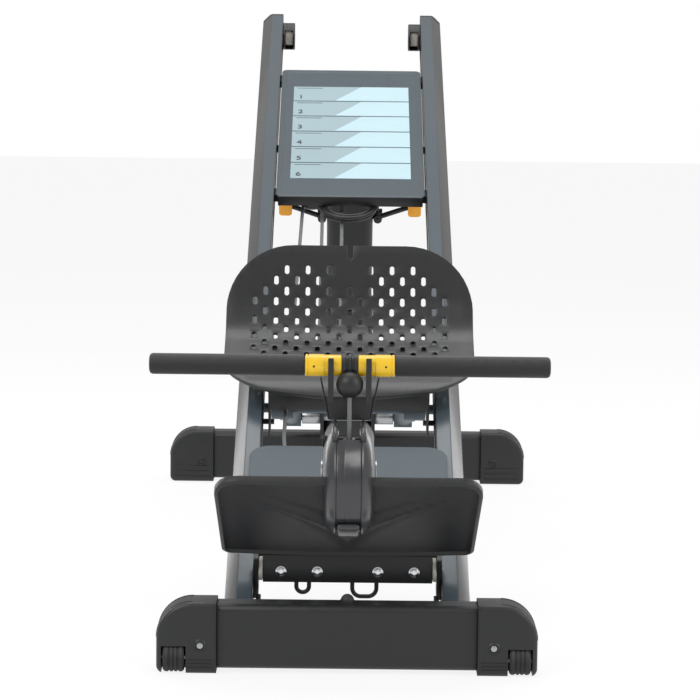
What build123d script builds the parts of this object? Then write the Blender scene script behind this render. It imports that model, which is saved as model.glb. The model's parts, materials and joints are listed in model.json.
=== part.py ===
from build123d import *
from math import atan2, cos, degrees, hypot, radians, sin
import os

# Incline rowing trainer: a seat on rollers runs up two inclined rails while the user pulls a handle.
# Millimetres, +Z up, X across, +Y towards the high rear end. The layout is drawn from the centre of
# the front beam and moved at the end, so that the origin is the bottom centre of the whole machine.

# ---- driving dimensions -------------------------------------------------------------------------
INCLINE = 24.53           # slope of the rails, degrees
RAIL_LENGTH = 2265.0      # along the slope
RAIL_DEPTH = 75.0         # top face to underside
RAIL_OUTER = 202.5        # centre plane to outer side
RAIL_INNER = 156.0        # centre plane to inner side
BEVEL = 20.5              # width of the outer bevel
BEVEL_DROP = 22.0
RAIL_LOW_Y = 80.0         # reference point on the rail's top plane
RAIL_LOW_Z = 122.0
RAIL_START = -45.0        # lower end, along the slope from the reference point

BEAM_DEPTH = 60.0         # front to back
BEAM_HEIGHT = 106.0
BEAM_LIFT = 7.0           # underside of the tube above the floor
BEAM_WALL = 4.0
FRONT_WIDTH = 616.0       # over the end caps
REAR_WIDTH = 795.0
BEAM_SPACING = 1900.0     # front beam to rear beam
CAP_WIDTH = 97.0
CAP_HEIGHT = 117.0
CAP_DEPTH = 72.0

WHEEL_R = 24.5
WHEEL_WIDTH = 34.0
WHEEL_LIFT = 0.5          # floor to tread

COLUMN_WIDTH = 105.0      # outer column, across
COLUMN_DEPTH = 85.0
COLUMN_WALL = 3.0
COLUMN_SLIP = 0.4         # gap between outer column and inner post
COLUMN_TOP = -412.0       # below the rails' top plane
POST_TOP = -76.0
POST_BOTTOM = -546.0
POST_WALL = 4.0

SEAT_WIDTH = 456.0
SEAT_THICKNESS = 7.0
SEAT_PAN = 172.0          # straight pan, along the slope
SEAT_BEND = 120.0         # radius between pan and back
SEAT_BACK = 92.0          # straight back
SEAT_BACK_ANGLE = 78.0    # above level
SEAT_START = 519.0        # front lip, along the rails
SEAT_HEIGHT = 45.0        # underside of the pan above the rails' top plane
SEAT_CORNER = 88.0

HANDLE_LENGTH = 648.0
HANDLE_Y = 20.0
HANDLE_Z = 497.5
GRIP_R = 17.0
HANDLE_BAR_R = 12.0
BALL_R = 22.0

NOSE_Y = 15.0
NOSE_Z = 315.0
NOSE_R = 95.0
NOSE_WIDTH = 82.0
NOSE_PULLEY_R = 65.0
ROPE_R = 3.5

PLATE_BOTTOM = (100.0, 170.0)   # footplate's lower edge, y and z
PLATE_LENGTH = 221.0
PLATE_LEAN = 43.5               # footplate above level, rising towards the front
PLATE_WIDTH_LOW = 416.0
PLATE_WIDTH_HIGH = 438.0
PLATE_THICKNESS = 10.0
PIVOT_Y = 112.0
PIVOT_Z = 146.0

PLACARD_WIDTH = 304.0
PLACARD_START = 1360.0
PLACARD_LENGTH = 585.0
PLACARD_THICKNESS = 7.0

PAD_WIDTH = 348.0
PAD_START = 205.0
PAD_END = 405.0
PAD_THICKNESS = 14.0

ARM_X = 123.0             # support arm, centre plane to tube
ARM_R = 19.0
ARM_ROLLER_R = 22.0
ARM_ROLLER_AT = 700.0     # along the rails
ARM_PIVOT_Y = 1800.0
ARM_PIVOT_Z = 160.0
ARM_SHAFT_R = 9.0

RUNNING = 0.05            # radial clearance of a turning fit
FREE = 0.5                # side clearance between faces that move past each other

# ---- derived places -----------------------------------------------------------------------------
SLOPE = radians(INCLINE)
RAIL = Plane(
    origin=(0, RAIL_LOW_Y, RAIL_LOW_Z), x_dir=(1, 0, 0), z_dir=(0, -sin(SLOPE), cos(SLOPE))
)
CHANNEL_TOP = -20.0
CHANNEL_LOW = -55.0
CHANNEL_BACK = RAIL_INNER + 34.0
CHANNEL_MID = (CHANNEL_TOP + CHANNEL_LOW) / 2
COLUMN_AT = (BEAM_SPACING - RAIL_LOW_Y) * cos(SLOPE) + (
    BEAM_LIFT + BEAM_HEIGHT / 2 - RAIL_LOW_Z
) * sin(SLOPE)

parts = {}


# ---- helpers ------------------------------------------------------------------------------------
def block(x0, x1, y0, y1, z0, z1):
    """A box between two corners."""
    return Pos((x0 + x1) / 2, (y0 + y1) / 2, (z0 + z1) / 2) * Box(x1 - x0, y1 - y0, z1 - z0)


def rod_x(radius, x0, x1, y, z):
    """A round bar along X."""
    return Pos((x0 + x1) / 2, y, z) * Rot(0, 90, 0) * Cylinder(radius, x1 - x0)


def rod_y(radius, y0, y1, x, z):
    """A round bar along Y."""
    return Pos(x, (y0 + y1) / 2, z) * Rot(90, 0, 0) * Cylinder(radius, y1 - y0)


def rod_z(radius, z0, z1, x, y):
    """A round bar along Z."""
    return Pos(x, y, (z0 + z1) / 2) * Cylinder(radius, z1 - z0)


def tube_x(radius, bore, x0, x1, y, z):
    """A bored round along X."""
    return rod_x(radius, x0, x1, y, z) - rod_x(bore, x0 - 1, x1 + 1, y, z)


def rounded_bar(x0, x1, y0, y1, z0, z1, radius, axis):
    """A box with the edges along one axis rounded."""
    bar = block(x0, x1, y0, y1, z0, z1)
    return fillet(bar.edges().filter_by(axis), radius)


def on_rail(shape):
    """Move a shape drawn in rail coordinates (across, up the slope, above the top plane)."""
    return RAIL.location * shape


def mirrored(shape):
    """The same shape on the other side of the centre plane."""
    return mirror(shape, about=Plane.YZ)


def pair(name, shape):
    """Keep a right-hand shape and its left-hand mirror as two pieces."""
    parts[name + "_right"] = shape
    parts[name + "_left"] = mirrored(shape)


def both(name, *shapes):
    """Keep right-hand shapes and their left-hand mirrors as one group of separate solids."""
    solids = []
    for shape in shapes:
        solids += shape.solids() + mirrored(shape).solids()
    parts[name] = Compound(solids)


def group(name, *shapes):
    """Keep several shapes as one group of separate solids."""
    parts[name] = Compound([solid for shape in shapes for solid in shape.solids()])


def rail_point(u, w):
    """World y and z of a point u up the slope and w above the top plane."""
    return (
        RAIL_LOW_Y + u * cos(SLOPE) - w * sin(SLOPE),
        RAIL_LOW_Z + u * sin(SLOPE) + w * cos(SLOPE),
    )


def sweep_round(points, radii, radius):
    """A round cord along straight runs and tangent arcs."""
    path = FilletPolyline(*points, radius=radii) if radii else Line(*points)
    section = Plane(origin=path @ 0, z_dir=path % 0) * Circle(radius)
    return sweep(section, path=path)


# ---- beams and their ends -----------------------------------------------------------------------
def beam_tube(half_length, y):
    """A rounded rectangular tube across the machine."""
    outer = rounded_bar(
        -half_length, half_length, y - BEAM_DEPTH / 2, y + BEAM_DEPTH / 2,
        BEAM_LIFT, BEAM_LIFT + BEAM_HEIGHT, 12, Axis.X,
    )
    inner = rounded_bar(
        -half_length - 1, half_length + 1,
        y - BEAM_DEPTH / 2 + BEAM_WALL, y + BEAM_DEPTH / 2 - BEAM_WALL,
        BEAM_LIFT + BEAM_WALL, BEAM_LIFT + BEAM_HEIGHT - BEAM_WALL, 12 - BEAM_WALL, Axis.X,
    )
    return outer - inner


def end_cap(width, y):
    """A moulded end cap with a large radius on its upper outer corner, for the right-hand side."""
    inner_x = width / 2 - CAP_WIDTH
    outer_x = width / 2
    cap = block(inner_x, outer_x, y - CAP_DEPTH / 2, y + CAP_DEPTH / 2, 0, CAP_HEIGHT)
    top_outer = cap.edges().filter_by(Axis.Y).group_by(Axis.X)[-1]
    cap = fillet(top_outer.sort_by(Axis.Z)[-1], 58)
    low_outer = cap.edges().filter_by(Axis.Y).group_by(Axis.X)[-1]
    cap = fillet(low_outer.sort_by(Axis.Z)[0], 12)
    socket = block(
        inner_x - 1, inner_x + CAP_WIDTH / 3,
        y - BEAM_DEPTH / 2, y + BEAM_DEPTH / 2, BEAM_LIFT, BEAM_LIFT + BEAM_HEIGHT,
    )
    return cap - socket


front_half = FRONT_WIDTH / 2
rear_half = REAR_WIDTH / 2
front_tube_half = front_half - CAP_WIDTH * 2 / 3
rear_tube_half = rear_half - CAP_WIDTH * 2 / 3
parts["front_beam"] = beam_tube(front_tube_half, 0)
parts["rear_beam"] = beam_tube(rear_tube_half, BEAM_SPACING)

wheel_x = front_half - 28
wheel_y = -CAP_DEPTH / 2 + WHEEL_R - 6
wheel_z = WHEEL_R + WHEEL_LIFT
WHEEL_GAP = 3.0
front_cap = end_cap(FRONT_WIDTH, 0)
wheel_well = rod_x(
    WHEEL_R + WHEEL_GAP, wheel_x - WHEEL_WIDTH / 2 - WHEEL_GAP, wheel_x + WHEEL_WIDTH / 2 + WHEEL_GAP,
    wheel_y, wheel_z,
) + block(
    wheel_x - WHEEL_WIDTH / 2 - WHEEL_GAP, wheel_x + WHEEL_WIDTH / 2 + WHEEL_GAP,
    -CAP_DEPTH / 2 - 1, wheel_y + WHEEL_R + WHEEL_GAP, -1, wheel_z,
) + block(
    wheel_x - WHEEL_WIDTH / 2 - WHEEL_GAP, wheel_x + WHEEL_WIDTH / 2 + WHEEL_GAP,
    -CAP_DEPTH / 2 - 1, wheel_y, wheel_z - 1, wheel_z + WHEEL_R + WHEEL_GAP,
)
AXLE_R = 4.0
axle_reach = WHEEL_WIDTH / 2 + WHEEL_GAP + 5
axle_hole = rod_x(AXLE_R, wheel_x - axle_reach, wheel_x + axle_reach, wheel_y, wheel_z)
both("front_caps", front_cap - wheel_well - axle_hole)
wheel = tube_x(
    WHEEL_R, AXLE_R + RUNNING, wheel_x - WHEEL_WIDTH / 2, wheel_x + WHEEL_WIDTH / 2, wheel_y, wheel_z
)
pair("transport_wheel", wheel)
both("rear_caps", end_cap(REAR_WIDTH, BEAM_SPACING))
SCREW_R = 5.0


def cap_screw(half, y):
    """The screw that holds the right-hand cap, seen on its front face."""
    face = y - CAP_DEPTH / 2
    return rod_y(SCREW_R, face - 1.5, face, half - CAP_WIDTH * 0.73, CAP_HEIGHT * 0.4)


both("front_cap_hardware", cap_screw(front_half, 0), axle_hole)
both("rear_cap_screws", cap_screw(rear_half, BEAM_SPACING))
beam_top = BEAM_LIFT + BEAM_HEIGHT
parts["beam_bumper"] = Pos(0, 0, beam_top) * (
    Cylinder(12, 4, align=(Align.CENTER, Align.CENTER, Align.MIN))
    + (Pos(0, 0, 3) * Sphere(11) - Pos(0, 0, -12) * Cylinder(20, 30))
)

# ---- rails, in rail coordinates -------------------------------------------------------------------
rail_end = RAIL_START + RAIL_LENGTH


def rail_section():
    """Cross-section of the right-hand rail in the plane across it (x, height above top plane)."""
    outline = Polyline(
        (RAIL_INNER, 0), (RAIL_OUTER - BEVEL, 0), (RAIL_OUTER, -BEVEL_DROP),
        (RAIL_OUTER, -RAIL_DEPTH), (RAIL_INNER, -RAIL_DEPTH), close=True,
    )
    channel_x = (RAIL_INNER - 1 + CHANNEL_BACK) / 2
    channel = Pos(channel_x, CHANNEL_MID) * Rectangle(
        CHANNEL_BACK - RAIL_INNER + 1, CHANNEL_TOP - CHANNEL_LOW
    )
    low_mid = (CHANNEL_LOW - RAIL_DEPTH) / 2
    hollow = Pos((RAIL_INNER + RAIL_OUTER) / 2, low_mid) * Rectangle(
        RAIL_OUTER - RAIL_INNER - 8, RAIL_DEPTH + CHANNEL_LOW - 8
    )
    top_hollow = Pos(RAIL_INNER + 14, CHANNEL_TOP / 2) * Rectangle(20, -CHANNEL_TOP - 8)
    return make_face(outline) - channel - hollow - top_hollow


SECTION_PLANE = Plane(origin=(0, RAIL_START, 0), x_dir=(1, 0, 0), z_dir=(0, -1, 0))
rail_solid = extrude(SECTION_PLANE * rail_section(), -RAIL_LENGTH)
pair("rail", on_rail(rail_solid))

CAP_T = 14.0
rail_cap = block(
    RAIL_INNER, RAIL_OUTER, rail_end, rail_end + CAP_T, -RAIL_DEPTH, 0
)
bevel_cut = Pos(RAIL_OUTER, rail_end + CAP_T / 2, 0) * Rot(
    0, degrees(atan2(BEVEL_DROP, BEVEL)), 0
) * Box(hypot(BEVEL, BEVEL_DROP) * 2, CAP_T + 2, 2 * BEVEL_DROP * BEVEL / hypot(BEVEL, BEVEL_DROP))
rail_cap = rail_cap - bevel_cut
rail_cap = fillet(rail_cap.edges().filter_by(Axis.X).group_by(Axis.Y)[-1].sort_by(Axis.Z)[-1], 12)
both("rail_end_caps", on_rail(rail_cap))

# Blocks that close the channel where a pivot pin turns.
HINGE_AT = -10.0
HINGE_PIN_R = 8.0
foot_block = block(
    RAIL_INNER, CHANNEL_BACK, RAIL_START, HINGE_AT + 45, CHANNEL_LOW, CHANNEL_TOP
) - rod_x(HINGE_PIN_R + RUNNING, RAIL_INNER - 1, CHANNEL_BACK + 1, HINGE_AT, CHANNEL_MID)
head_block = block(
    RAIL_INNER, CHANNEL_BACK, COLUMN_AT - 35, COLUMN_AT + 35, CHANNEL_LOW, CHANNEL_TOP
) - rod_x(HINGE_PIN_R + RUNNING, RAIL_INNER - 1, CHANNEL_BACK + 1, COLUMN_AT, CHANNEL_MID)
both("rail_pivot_blocks", on_rail(foot_block), on_rail(head_block))

# ---- front hinge lugs, welded to the front beam ----------------------------------------------------
hinge_y, hinge_z = rail_point(HINGE_AT, CHANNEL_MID)
LUG_OUT = RAIL_INNER - 5
LUG_T = 8.0
lug = block(LUG_OUT - LUG_T, LUG_OUT, BEAM_DEPTH / 2, hinge_y + 20, hinge_z - 20, hinge_z + 20)
both("front_lugs", lug + rod_x(HINGE_PIN_R, LUG_OUT - LUG_T, CHANNEL_BACK - 2, hinge_y, hinge_z))

# ---- column, post and rear hinge -------------------------------------------------------------------
def column_tube(width, depth, wall, w0, w1, radius):
    """A rounded rectangular tube along the column, in rail coordinates."""
    outer = rounded_bar(
        -width / 2, width / 2, COLUMN_AT - depth / 2, COLUMN_AT + depth / 2, w0, w1, radius, Axis.Z
    )
    inner = rounded_bar(
        -width / 2 + wall, width / 2 - wall, COLUMN_AT - depth / 2 + wall,
        COLUMN_AT + depth / 2 - wall, w0 - 1, w1 + 1, radius - wall, Axis.Z,
    )
    return outer - inner


COLUMN_ROUND = 22.0
COLUMN_BASE = -900.0
column = on_rail(
    column_tube(COLUMN_WIDTH, COLUMN_DEPTH, COLUMN_WALL, COLUMN_BASE, COLUMN_TOP, COLUMN_ROUND)
)
beam_space = block(
    -REAR_WIDTH, REAR_WIDTH, BEAM_SPACING - 200, BEAM_SPACING + 200, -300, beam_top
)
pivot_bore = rod_x(ARM_SHAFT_R, -COLUMN_WIDTH, COLUMN_WIDTH, ARM_PIVOT_Y, ARM_PIVOT_Z)
parts["column"] = column - beam_space - pivot_bore
post_width = COLUMN_WIDTH - 2 * COLUMN_WALL - 2 * COLUMN_SLIP
post_depth = COLUMN_DEPTH - 2 * COLUMN_WALL - 2 * COLUMN_SLIP
parts["post"] = on_rail(
    column_tube(post_width, post_depth, POST_WALL, POST_BOTTOM, POST_TOP - 26,
                COLUMN_ROUND - COLUMN_WALL - COLUMN_SLIP)
)
EAR_IN = 118.0
EAR_T = 8.0
yoke = block(
    -EAR_IN - EAR_T, EAR_IN + EAR_T, COLUMN_AT - 32, COLUMN_AT + 32, POST_TOP - 26, POST_TOP - 4
)
ear = block(
    EAR_IN, EAR_IN + EAR_T, COLUMN_AT - 24, COLUMN_AT + 24, POST_TOP - 4, CHANNEL_MID + 17
) + rod_x(HINGE_PIN_R, EAR_IN, CHANNEL_BACK - 2, COLUMN_AT, CHANNEL_MID)
parts["head_yoke"] = on_rail(yoke + ear + mirrored(ear))

# Release levers, pivoted on the post's sides.
LEVER_W = -195.0
LEVER_RISE = 26.0
LEVER_OUT = 128.0
LEVER_BAR_R = 5.5
lever_in = post_width / 2 + FREE
pivot_u = COLUMN_AT - 10
LEVER_PIN_R = 4.0
LEVER_BOSS_R = 9.0
LEVER_BOSS_HALF = 12.0
lever_x = lever_in + 10
lever_bore = rod_y(
    LEVER_PIN_R + RUNNING, pivot_u - LEVER_BOSS_HALF - 1, pivot_u + LEVER_BOSS_HALF + 1, lever_x, LEVER_W
)
boss = rod_y(LEVER_BOSS_R, pivot_u - LEVER_BOSS_HALF, pivot_u + LEVER_BOSS_HALF, lever_x, LEVER_W)
lever_run = hypot(LEVER_OUT - lever_x, LEVER_RISE)
lever_slope = degrees(atan2(LEVER_RISE, LEVER_OUT - lever_x))
lever_bar = Pos(lever_x, pivot_u, LEVER_W) * Rot(0, -lever_slope, 0) * Pos(lever_run / 2 + 4, 0, 0) * (
    Rot(0, 90, 0) * Cylinder(LEVER_BAR_R, lever_run - 8)
)
pair("release_lever", on_rail((boss + lever_bar) - lever_bore))
GRIP_HALF = 16.0
grip = block(
    LEVER_OUT - 4, LEVER_OUT + 24, pivot_u - GRIP_HALF, pivot_u + GRIP_HALF,
    LEVER_W + LEVER_RISE - GRIP_HALF, LEVER_W + LEVER_RISE + GRIP_HALF,
)
pair("lever_grip", on_rail(fillet(grip.edges().filter_by(Axis.Y), 7) - lever_bar))
bracket = block(
    post_width / 2, lever_in + 20, pivot_u + 12 + FREE, pivot_u + 17 + FREE, LEVER_W - 12, LEVER_W + 12
)
lever_pin = rod_y(4, pivot_u - 14, pivot_u + 17 + FREE, lever_in + 10, LEVER_W)
both("lever_brackets", on_rail(bracket + lever_pin))

# ---- support arms ----------------------------------------------------------------------------------
roller_w = -RAIL_DEPTH - ARM_ROLLER_R - 0.3
roller_y, roller_z = rail_point(ARM_ROLLER_AT, roller_w)
arm_length = hypot(ARM_PIVOT_Y - roller_y, roller_z - ARM_PIVOT_Z)
arm_tilt = degrees(atan2(roller_z - ARM_PIVOT_Z, ARM_PIVOT_Y - roller_y))
ARM = Plane(
    origin=(0, ARM_PIVOT_Y, ARM_PIVOT_Z), x_dir=(1, 0, 0),
    z_dir=(0, -cos(radians(arm_tilt)), sin(radians(arm_tilt))),
)
arm_tube = Pos(ARM_X, 0, arm_length / 2) * Cylinder(ARM_R, arm_length)
arm_tube = arm_tube + rod_x(ARM_R + 3, ARM_X - ARM_R - 1, ARM_X + ARM_R + 1, 0, 0)
arm_bore = rod_x(ARM_SHAFT_R + RUNNING, ARM_X - ARM_R - 2, ARM_X + ARM_R + 2, 0, 0)
top_bore = rod_x(ARM_SHAFT_R, ARM_X - ARM_R - 2, ARM_X + ARM_R + 2, 0, arm_length)
arm_hollow = Pos(ARM_X, 0, arm_length / 2) * Cylinder(ARM_R - 3, arm_length - 4 * ARM_R)
arm_tip = rod_x(ARM_R + 2, ARM_X - ARM_R - 1, ARM_X + ARM_R + 1, 0, arm_length)
arm_tube = (arm_tube + arm_tip) - arm_bore - top_bore - arm_hollow
roller_in = RAIL_INNER + 4
roller_out = RAIL_OUTER - 6
top_shaft = rod_x(ARM_SHAFT_R, -roller_out - 4, roller_out + 4, roller_y, roller_z)
right_arm = ARM.location * arm_tube
group("support_arms", right_arm, mirrored(right_arm), top_shaft)
both("arm_rollers", tube_x(
    ARM_ROLLER_R, ARM_SHAFT_R + RUNNING, roller_in, roller_out, roller_y, roller_z))
shaft_half = ARM_X + ARM_R + 8
parts["arm_pivot_shaft"] = rod_x(ARM_SHAFT_R, -shaft_half, shaft_half, ARM_PIVOT_Y, ARM_PIVOT_Z)
both("pivot_sleeves", tube_x(
    16, ARM_SHAFT_R, COLUMN_WIDTH / 2 + 8, ARM_X - ARM_R - 3, ARM_PIVOT_Y, ARM_PIVOT_Z))
cheek = block(
    COLUMN_WIDTH / 2, COLUMN_WIDTH / 2 + 8, ARM_PIVOT_Y - 26, BEAM_SPACING + 28,
    beam_top, ARM_PIVOT_Z + 26,
) - rod_x(ARM_SHAFT_R, 0, 200, ARM_PIVOT_Y, ARM_PIVOT_Z)
cheek = fillet(cheek.edges().filter_by(Axis.X).group_by(Axis.Y)[0], 10)
both("column_cheeks", cheek)

# ---- seat and its carriage ------------------------------------------------------------------------
def seat_profile():
    """Side view of the seat shell: a pan along the rails, a bend and a back (slope, height)."""
    turn = SEAT_BACK_ANGLE - INCLINE
    start = (SEAT_START, SEAT_HEIGHT)
    pan_end = (SEAT_START + SEAT_PAN, SEAT_HEIGHT)
    centre = (pan_end[0], SEAT_HEIGHT + SEAT_BEND)
    bend_end = (
        centre[0] + SEAT_BEND * sin(radians(turn)), centre[1] - SEAT_BEND * cos(radians(turn))
    )
    top = (
        bend_end[0] + SEAT_BACK * cos(radians(turn)), bend_end[1] + SEAT_BACK * sin(radians(turn))
    )
    middle = (
        centre[0] + SEAT_BEND * sin(radians(turn / 2)), centre[1] - SEAT_BEND * cos(radians(turn / 2))
    )
    return Line(start, pan_end), ThreePointArc(pan_end, middle, bend_end), Line(bend_end, top), top


pan_line, bend_arc, back_line, seat_top = seat_profile()
seat_path = Curve() + [pan_line, bend_arc, back_line]
SIDE_PLANE = Plane(origin=(0, 0, 0), x_dir=(0, 1, 0), z_dir=(1, 0, 0))
strip = trace(seat_path, SEAT_THICKNESS)
seat_slab = extrude(SIDE_PLANE * Pos(0, SEAT_THICKNESS / 2) * strip, SEAT_WIDTH / 2, both=True)
back_view = Plane(
    origin=(0, SEAT_START, SEAT_HEIGHT), x_dir=(1, 0, 0),
    z_dir=(0, -sin(radians(SEAT_BACK_ANGLE - INCLINE)), cos(radians(SEAT_BACK_ANGLE - INCLINE))),
)
turn = radians(SEAT_BACK_ANGLE - INCLINE)
top_reach = (seat_top[0] - SEAT_START) * cos(turn) + (seat_top[1] - SEAT_HEIGHT) * sin(turn)
back_trim = extrude(
    back_view * Pos(0, top_reach - 350) * RectangleRounded(SEAT_WIDTH, 700, SEAT_CORNER), 500, both=True
)
front_round = extrude(
    Pos(0, SEAT_START + 400, 0) * RectangleRounded(SEAT_WIDTH, 800, 60), 400, both=True
)
notch = back_view * Pos(0, top_reach, 0) * Box(9, 50, 500)
seat_shell = (seat_slab & front_round & back_trim) - notch
parts["seat_shell"] = on_rail(seat_shell)

CARRIAGE_HALF = 145.0
CARRIAGE_START = SEAT_START + 16
CARRIAGE_END = CARRIAGE_START + 235
CARRIAGE_T = 4.0
carriage_floor = block(
    -CARRIAGE_HALF, CARRIAGE_HALF, CARRIAGE_START, CARRIAGE_START + 170,
    SEAT_HEIGHT - CARRIAGE_T, SEAT_HEIGHT,
)
carriage_front = block(
    -CARRIAGE_HALF, CARRIAGE_HALF, CARRIAGE_START, CARRIAGE_START + CARRIAGE_T, 4, SEAT_HEIGHT - 5
)
carriage_side = block(
    CARRIAGE_HALF - CARRIAGE_T, CARRIAGE_HALF, CARRIAGE_START, CARRIAGE_END, CHANNEL_MID - 15,
    SEAT_HEIGHT - 6,
)
TAB_T = 8.0
ROPE_W = -52.0            # ropes below the rails' top plane
SHEAVE_R = 20.0           # to the rope's centre line
SHEAVE_HALF = 6.0
SHEAVE_PIN_R = 4.0
SHEAVE_X = -77.0
CARRIAGE_SHEAVE_X = SHEAVE_X + 2 * SHEAVE_R
CARRIAGE_SHEAVE_U = CARRIAGE_END + SHEAVE_R + 6
arm_low = ROPE_W + SHEAVE_HALF + FREE
tab_x0 = CARRIAGE_SHEAVE_X - 13
tab_x1 = CARRIAGE_SHEAVE_X + 13
carriage_rear = block(
    -CARRIAGE_HALF + 1, CARRIAGE_HALF - 1, CARRIAGE_END - CARRIAGE_T, CARRIAGE_END, -22, -2
) + block(tab_x0, tab_x1, CARRIAGE_END - TAB_T, CARRIAGE_END, arm_low, -2) + block(
    tab_x0, tab_x1, CARRIAGE_END - TAB_T, CARRIAGE_SHEAVE_U + 8, arm_low, arm_low + 5
) + rod_z(SHEAVE_PIN_R, ROPE_W - SHEAVE_HALF - 2, arm_low + 1, CARRIAGE_SHEAVE_X, CARRIAGE_SHEAVE_U)
seat_roller_at = (CARRIAGE_START + 25, CARRIAGE_END - 25)
SEAT_ROLLER_R = (CHANNEL_TOP - CHANNEL_LOW) / 2 - 0.4
SEAT_AXLE_R = 5.0
carriage = carriage_floor + carriage_front + carriage_rear + carriage_side + mirrored(carriage_side)
for at in seat_roller_at:
    stub = rod_x(SEAT_AXLE_R, CARRIAGE_HALF - 10, CHANNEL_BACK - 6, at, CHANNEL_MID)
    carriage = carriage + stub + mirrored(stub)
parts["seat_carriage"] = on_rail(carriage)
for end, at in zip(("low", "high"), seat_roller_at):
    roller = tube_x(
        SEAT_ROLLER_R, SEAT_AXLE_R + RUNNING, RAIL_INNER + 3, CHANNEL_BACK - 8, at, CHANNEL_MID
    )
    both("seat_rollers_" + end, on_rail(roller))

# ---- placard and its bars -------------------------------------------------------------------------
PLACARD_W = -4.0
placard = rounded_bar(
    -PLACARD_WIDTH / 2, PLACARD_WIDTH / 2, PLACARD_START, PLACARD_START + PLACARD_LENGTH,
    PLACARD_W - PLACARD_THICKNESS, PLACARD_W, 6, Axis.Z,
)
parts["placard"] = on_rail(placard)
BAR_T = 16.0
placard_bars = [
    block(
        -RAIL_INNER, RAIL_INNER, at - 15, at + 15,
        PLACARD_W - PLACARD_THICKNESS - BAR_T, PLACARD_W - PLACARD_THICKNESS,
    )
    for at in (PLACARD_START + 30, PLACARD_START + PLACARD_LENGTH - 30)
]
lip = block(
    -PLACARD_WIDTH / 2 + 4, PLACARD_WIDTH / 2 - 4, PLACARD_START - 3, PLACARD_START,
    PLACARD_W - 22, PLACARD_W - 1,
)

# Under the lower bar: the sheave's bracket, the rope's anchor and two clips for the cable turns.
SHEAVE_U = PLACARD_START + 62
bar_low = PLACARD_W - PLACARD_THICKNESS - BAR_T
BAR_U0 = PLACARD_START + 15
BAR_U1 = PLACARD_START + 45
sheave_arm = block(
    SHEAVE_X - 13, SHEAVE_X + 13, BAR_U0 + 4, SHEAVE_U + 10, arm_low + 0.5, bar_low
) + rod_z(SHEAVE_PIN_R, ROPE_W - SHEAVE_HALF - 2, arm_low + 1, SHEAVE_X, SHEAVE_U)
rope_end_x = CARRIAGE_SHEAVE_X + SHEAVE_R
rope_anchor = block(rope_end_x - 8, rope_end_x + 8, BAR_U0, BAR_U0 + 12, ROPE_W - 6, bar_low)
TURN_X = -4.0             # middle of the cable turns
CLIP_LOW = -46.0
clips = [
    block(TURN_X + side * 52 - 11, TURN_X + side * 52 + 11, BAR_U0, BAR_U0 + 14, CLIP_LOW, bar_low)
    for side in (-1, 1)
]
under_bar = placard_bars[0] + sheave_arm + rope_anchor + clips[0] + clips[1]
group("placard_frame", *[on_rail(shape) for shape in (under_bar, placard_bars[1], lip)])

# ---- pulleys at the rails' heads --------------------------------------------------------------------
TOP_PULLEY_R = 20.0
top_pulley_at = rail_end - 42
top_w = -34.0
HOUSING_OUT = RAIL_INNER
HOUSING_IN = RAIL_INNER - 27
housing = Pos((HOUSING_IN + HOUSING_OUT) / 2, top_pulley_at, top_w) * Rot(0, 90, 0) * extrude(
    RegularPolygon(34, 6), (HOUSING_OUT - HOUSING_IN) / 2, both=True
)
housing = fillet(housing.edges().filter_by(Axis.X), 9)
well = rod_x(TOP_PULLEY_R + 3, HOUSING_IN + 4, HOUSING_OUT - 5, top_pulley_at, top_w)
mouth = block(
    HOUSING_IN + 4, HOUSING_OUT - 5, top_pulley_at - 45, top_pulley_at,
    top_w - TOP_PULLEY_R - 3, top_w + TOP_PULLEY_R + 3,
)
top_pin = rod_x(4, HOUSING_IN + 1, HOUSING_OUT - 1, top_pulley_at, top_w)
both("top_pulley_housings", on_rail(housing - well - mouth + top_pin))
pulley = tube_x(
    TOP_PULLEY_R, 4 + RUNNING, HOUSING_IN + 4 + FREE, HOUSING_OUT - 5 - FREE, top_pulley_at, top_w
)
both("top_pulleys", on_rail(pulley))

# ---- cover pad and low cross member ------------------------------------------------------------------
pad = rounded_bar(
    -PAD_WIDTH / 2, PAD_WIDTH / 2, PAD_START, PAD_END, 0, PAD_THICKNESS, 26, Axis.Z
)
parts["cover_pad"] = on_rail(pad)
CROSS_AT = 150.0
cross = block(-RAIL_INNER, RAIL_INNER, CROSS_AT - 25, CROSS_AT + 25, -66, -16)
parts["low_cross_member"] = on_rail(cross)

# ---- nose: mast, housing, pulley and cradle ---------------------------------------------------------
MAST_T = 3.0
mast_x = NOSE_WIDTH / 2 + 1
cross_y, cross_z = rail_point(CROSS_AT, -16)
mast_line = Line((NOSE_Y, NOSE_Z), (cross_y - 6, cross_z + 30))
mast_face = SIDE_PLANE * (
    trace(mast_line, 46) + Pos(NOSE_Y, NOSE_Z) * Circle(30)
)
mast_plate = Pos(mast_x, 0, 0) * extrude(mast_face, MAST_T)
mast_foot = on_rail(block(mast_x, mast_x + MAST_T, CROSS_AT - 24, CROSS_AT + 24, -16, 30))
nose_axle = rod_x(6, -mast_x - MAST_T, mast_x + MAST_T, NOSE_Y, NOSE_Z)
both("mast_plates", (mast_plate + mast_foot) - nose_axle)
parts["nose_axle"] = nose_axle
PULLEY_HALF = 10.0
parts["nose_pulley"] = tube_x(NOSE_PULLEY_R, 6 + RUNNING, -PULLEY_HALF, PULLEY_HALF, NOSE_Y, NOSE_Z) - (
    tube_x(NOSE_PULLEY_R + 1, NOSE_PULLEY_R - 6.3, -4.5, 4.5, NOSE_Y, NOSE_Z)
)
NOSE_WELL_R = 74.0
well_half = PULLEY_HALF + 3
nose = rod_x(NOSE_R, -NOSE_WIDTH / 2, NOSE_WIDTH / 2, NOSE_Y, NOSE_Z)
nose = fillet(nose.edges().filter_by(GeomType.CIRCLE), 24)
nose = nose - rod_x(NOSE_WELL_R, -well_half, well_half, NOSE_Y, NOSE_Z)
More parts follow.
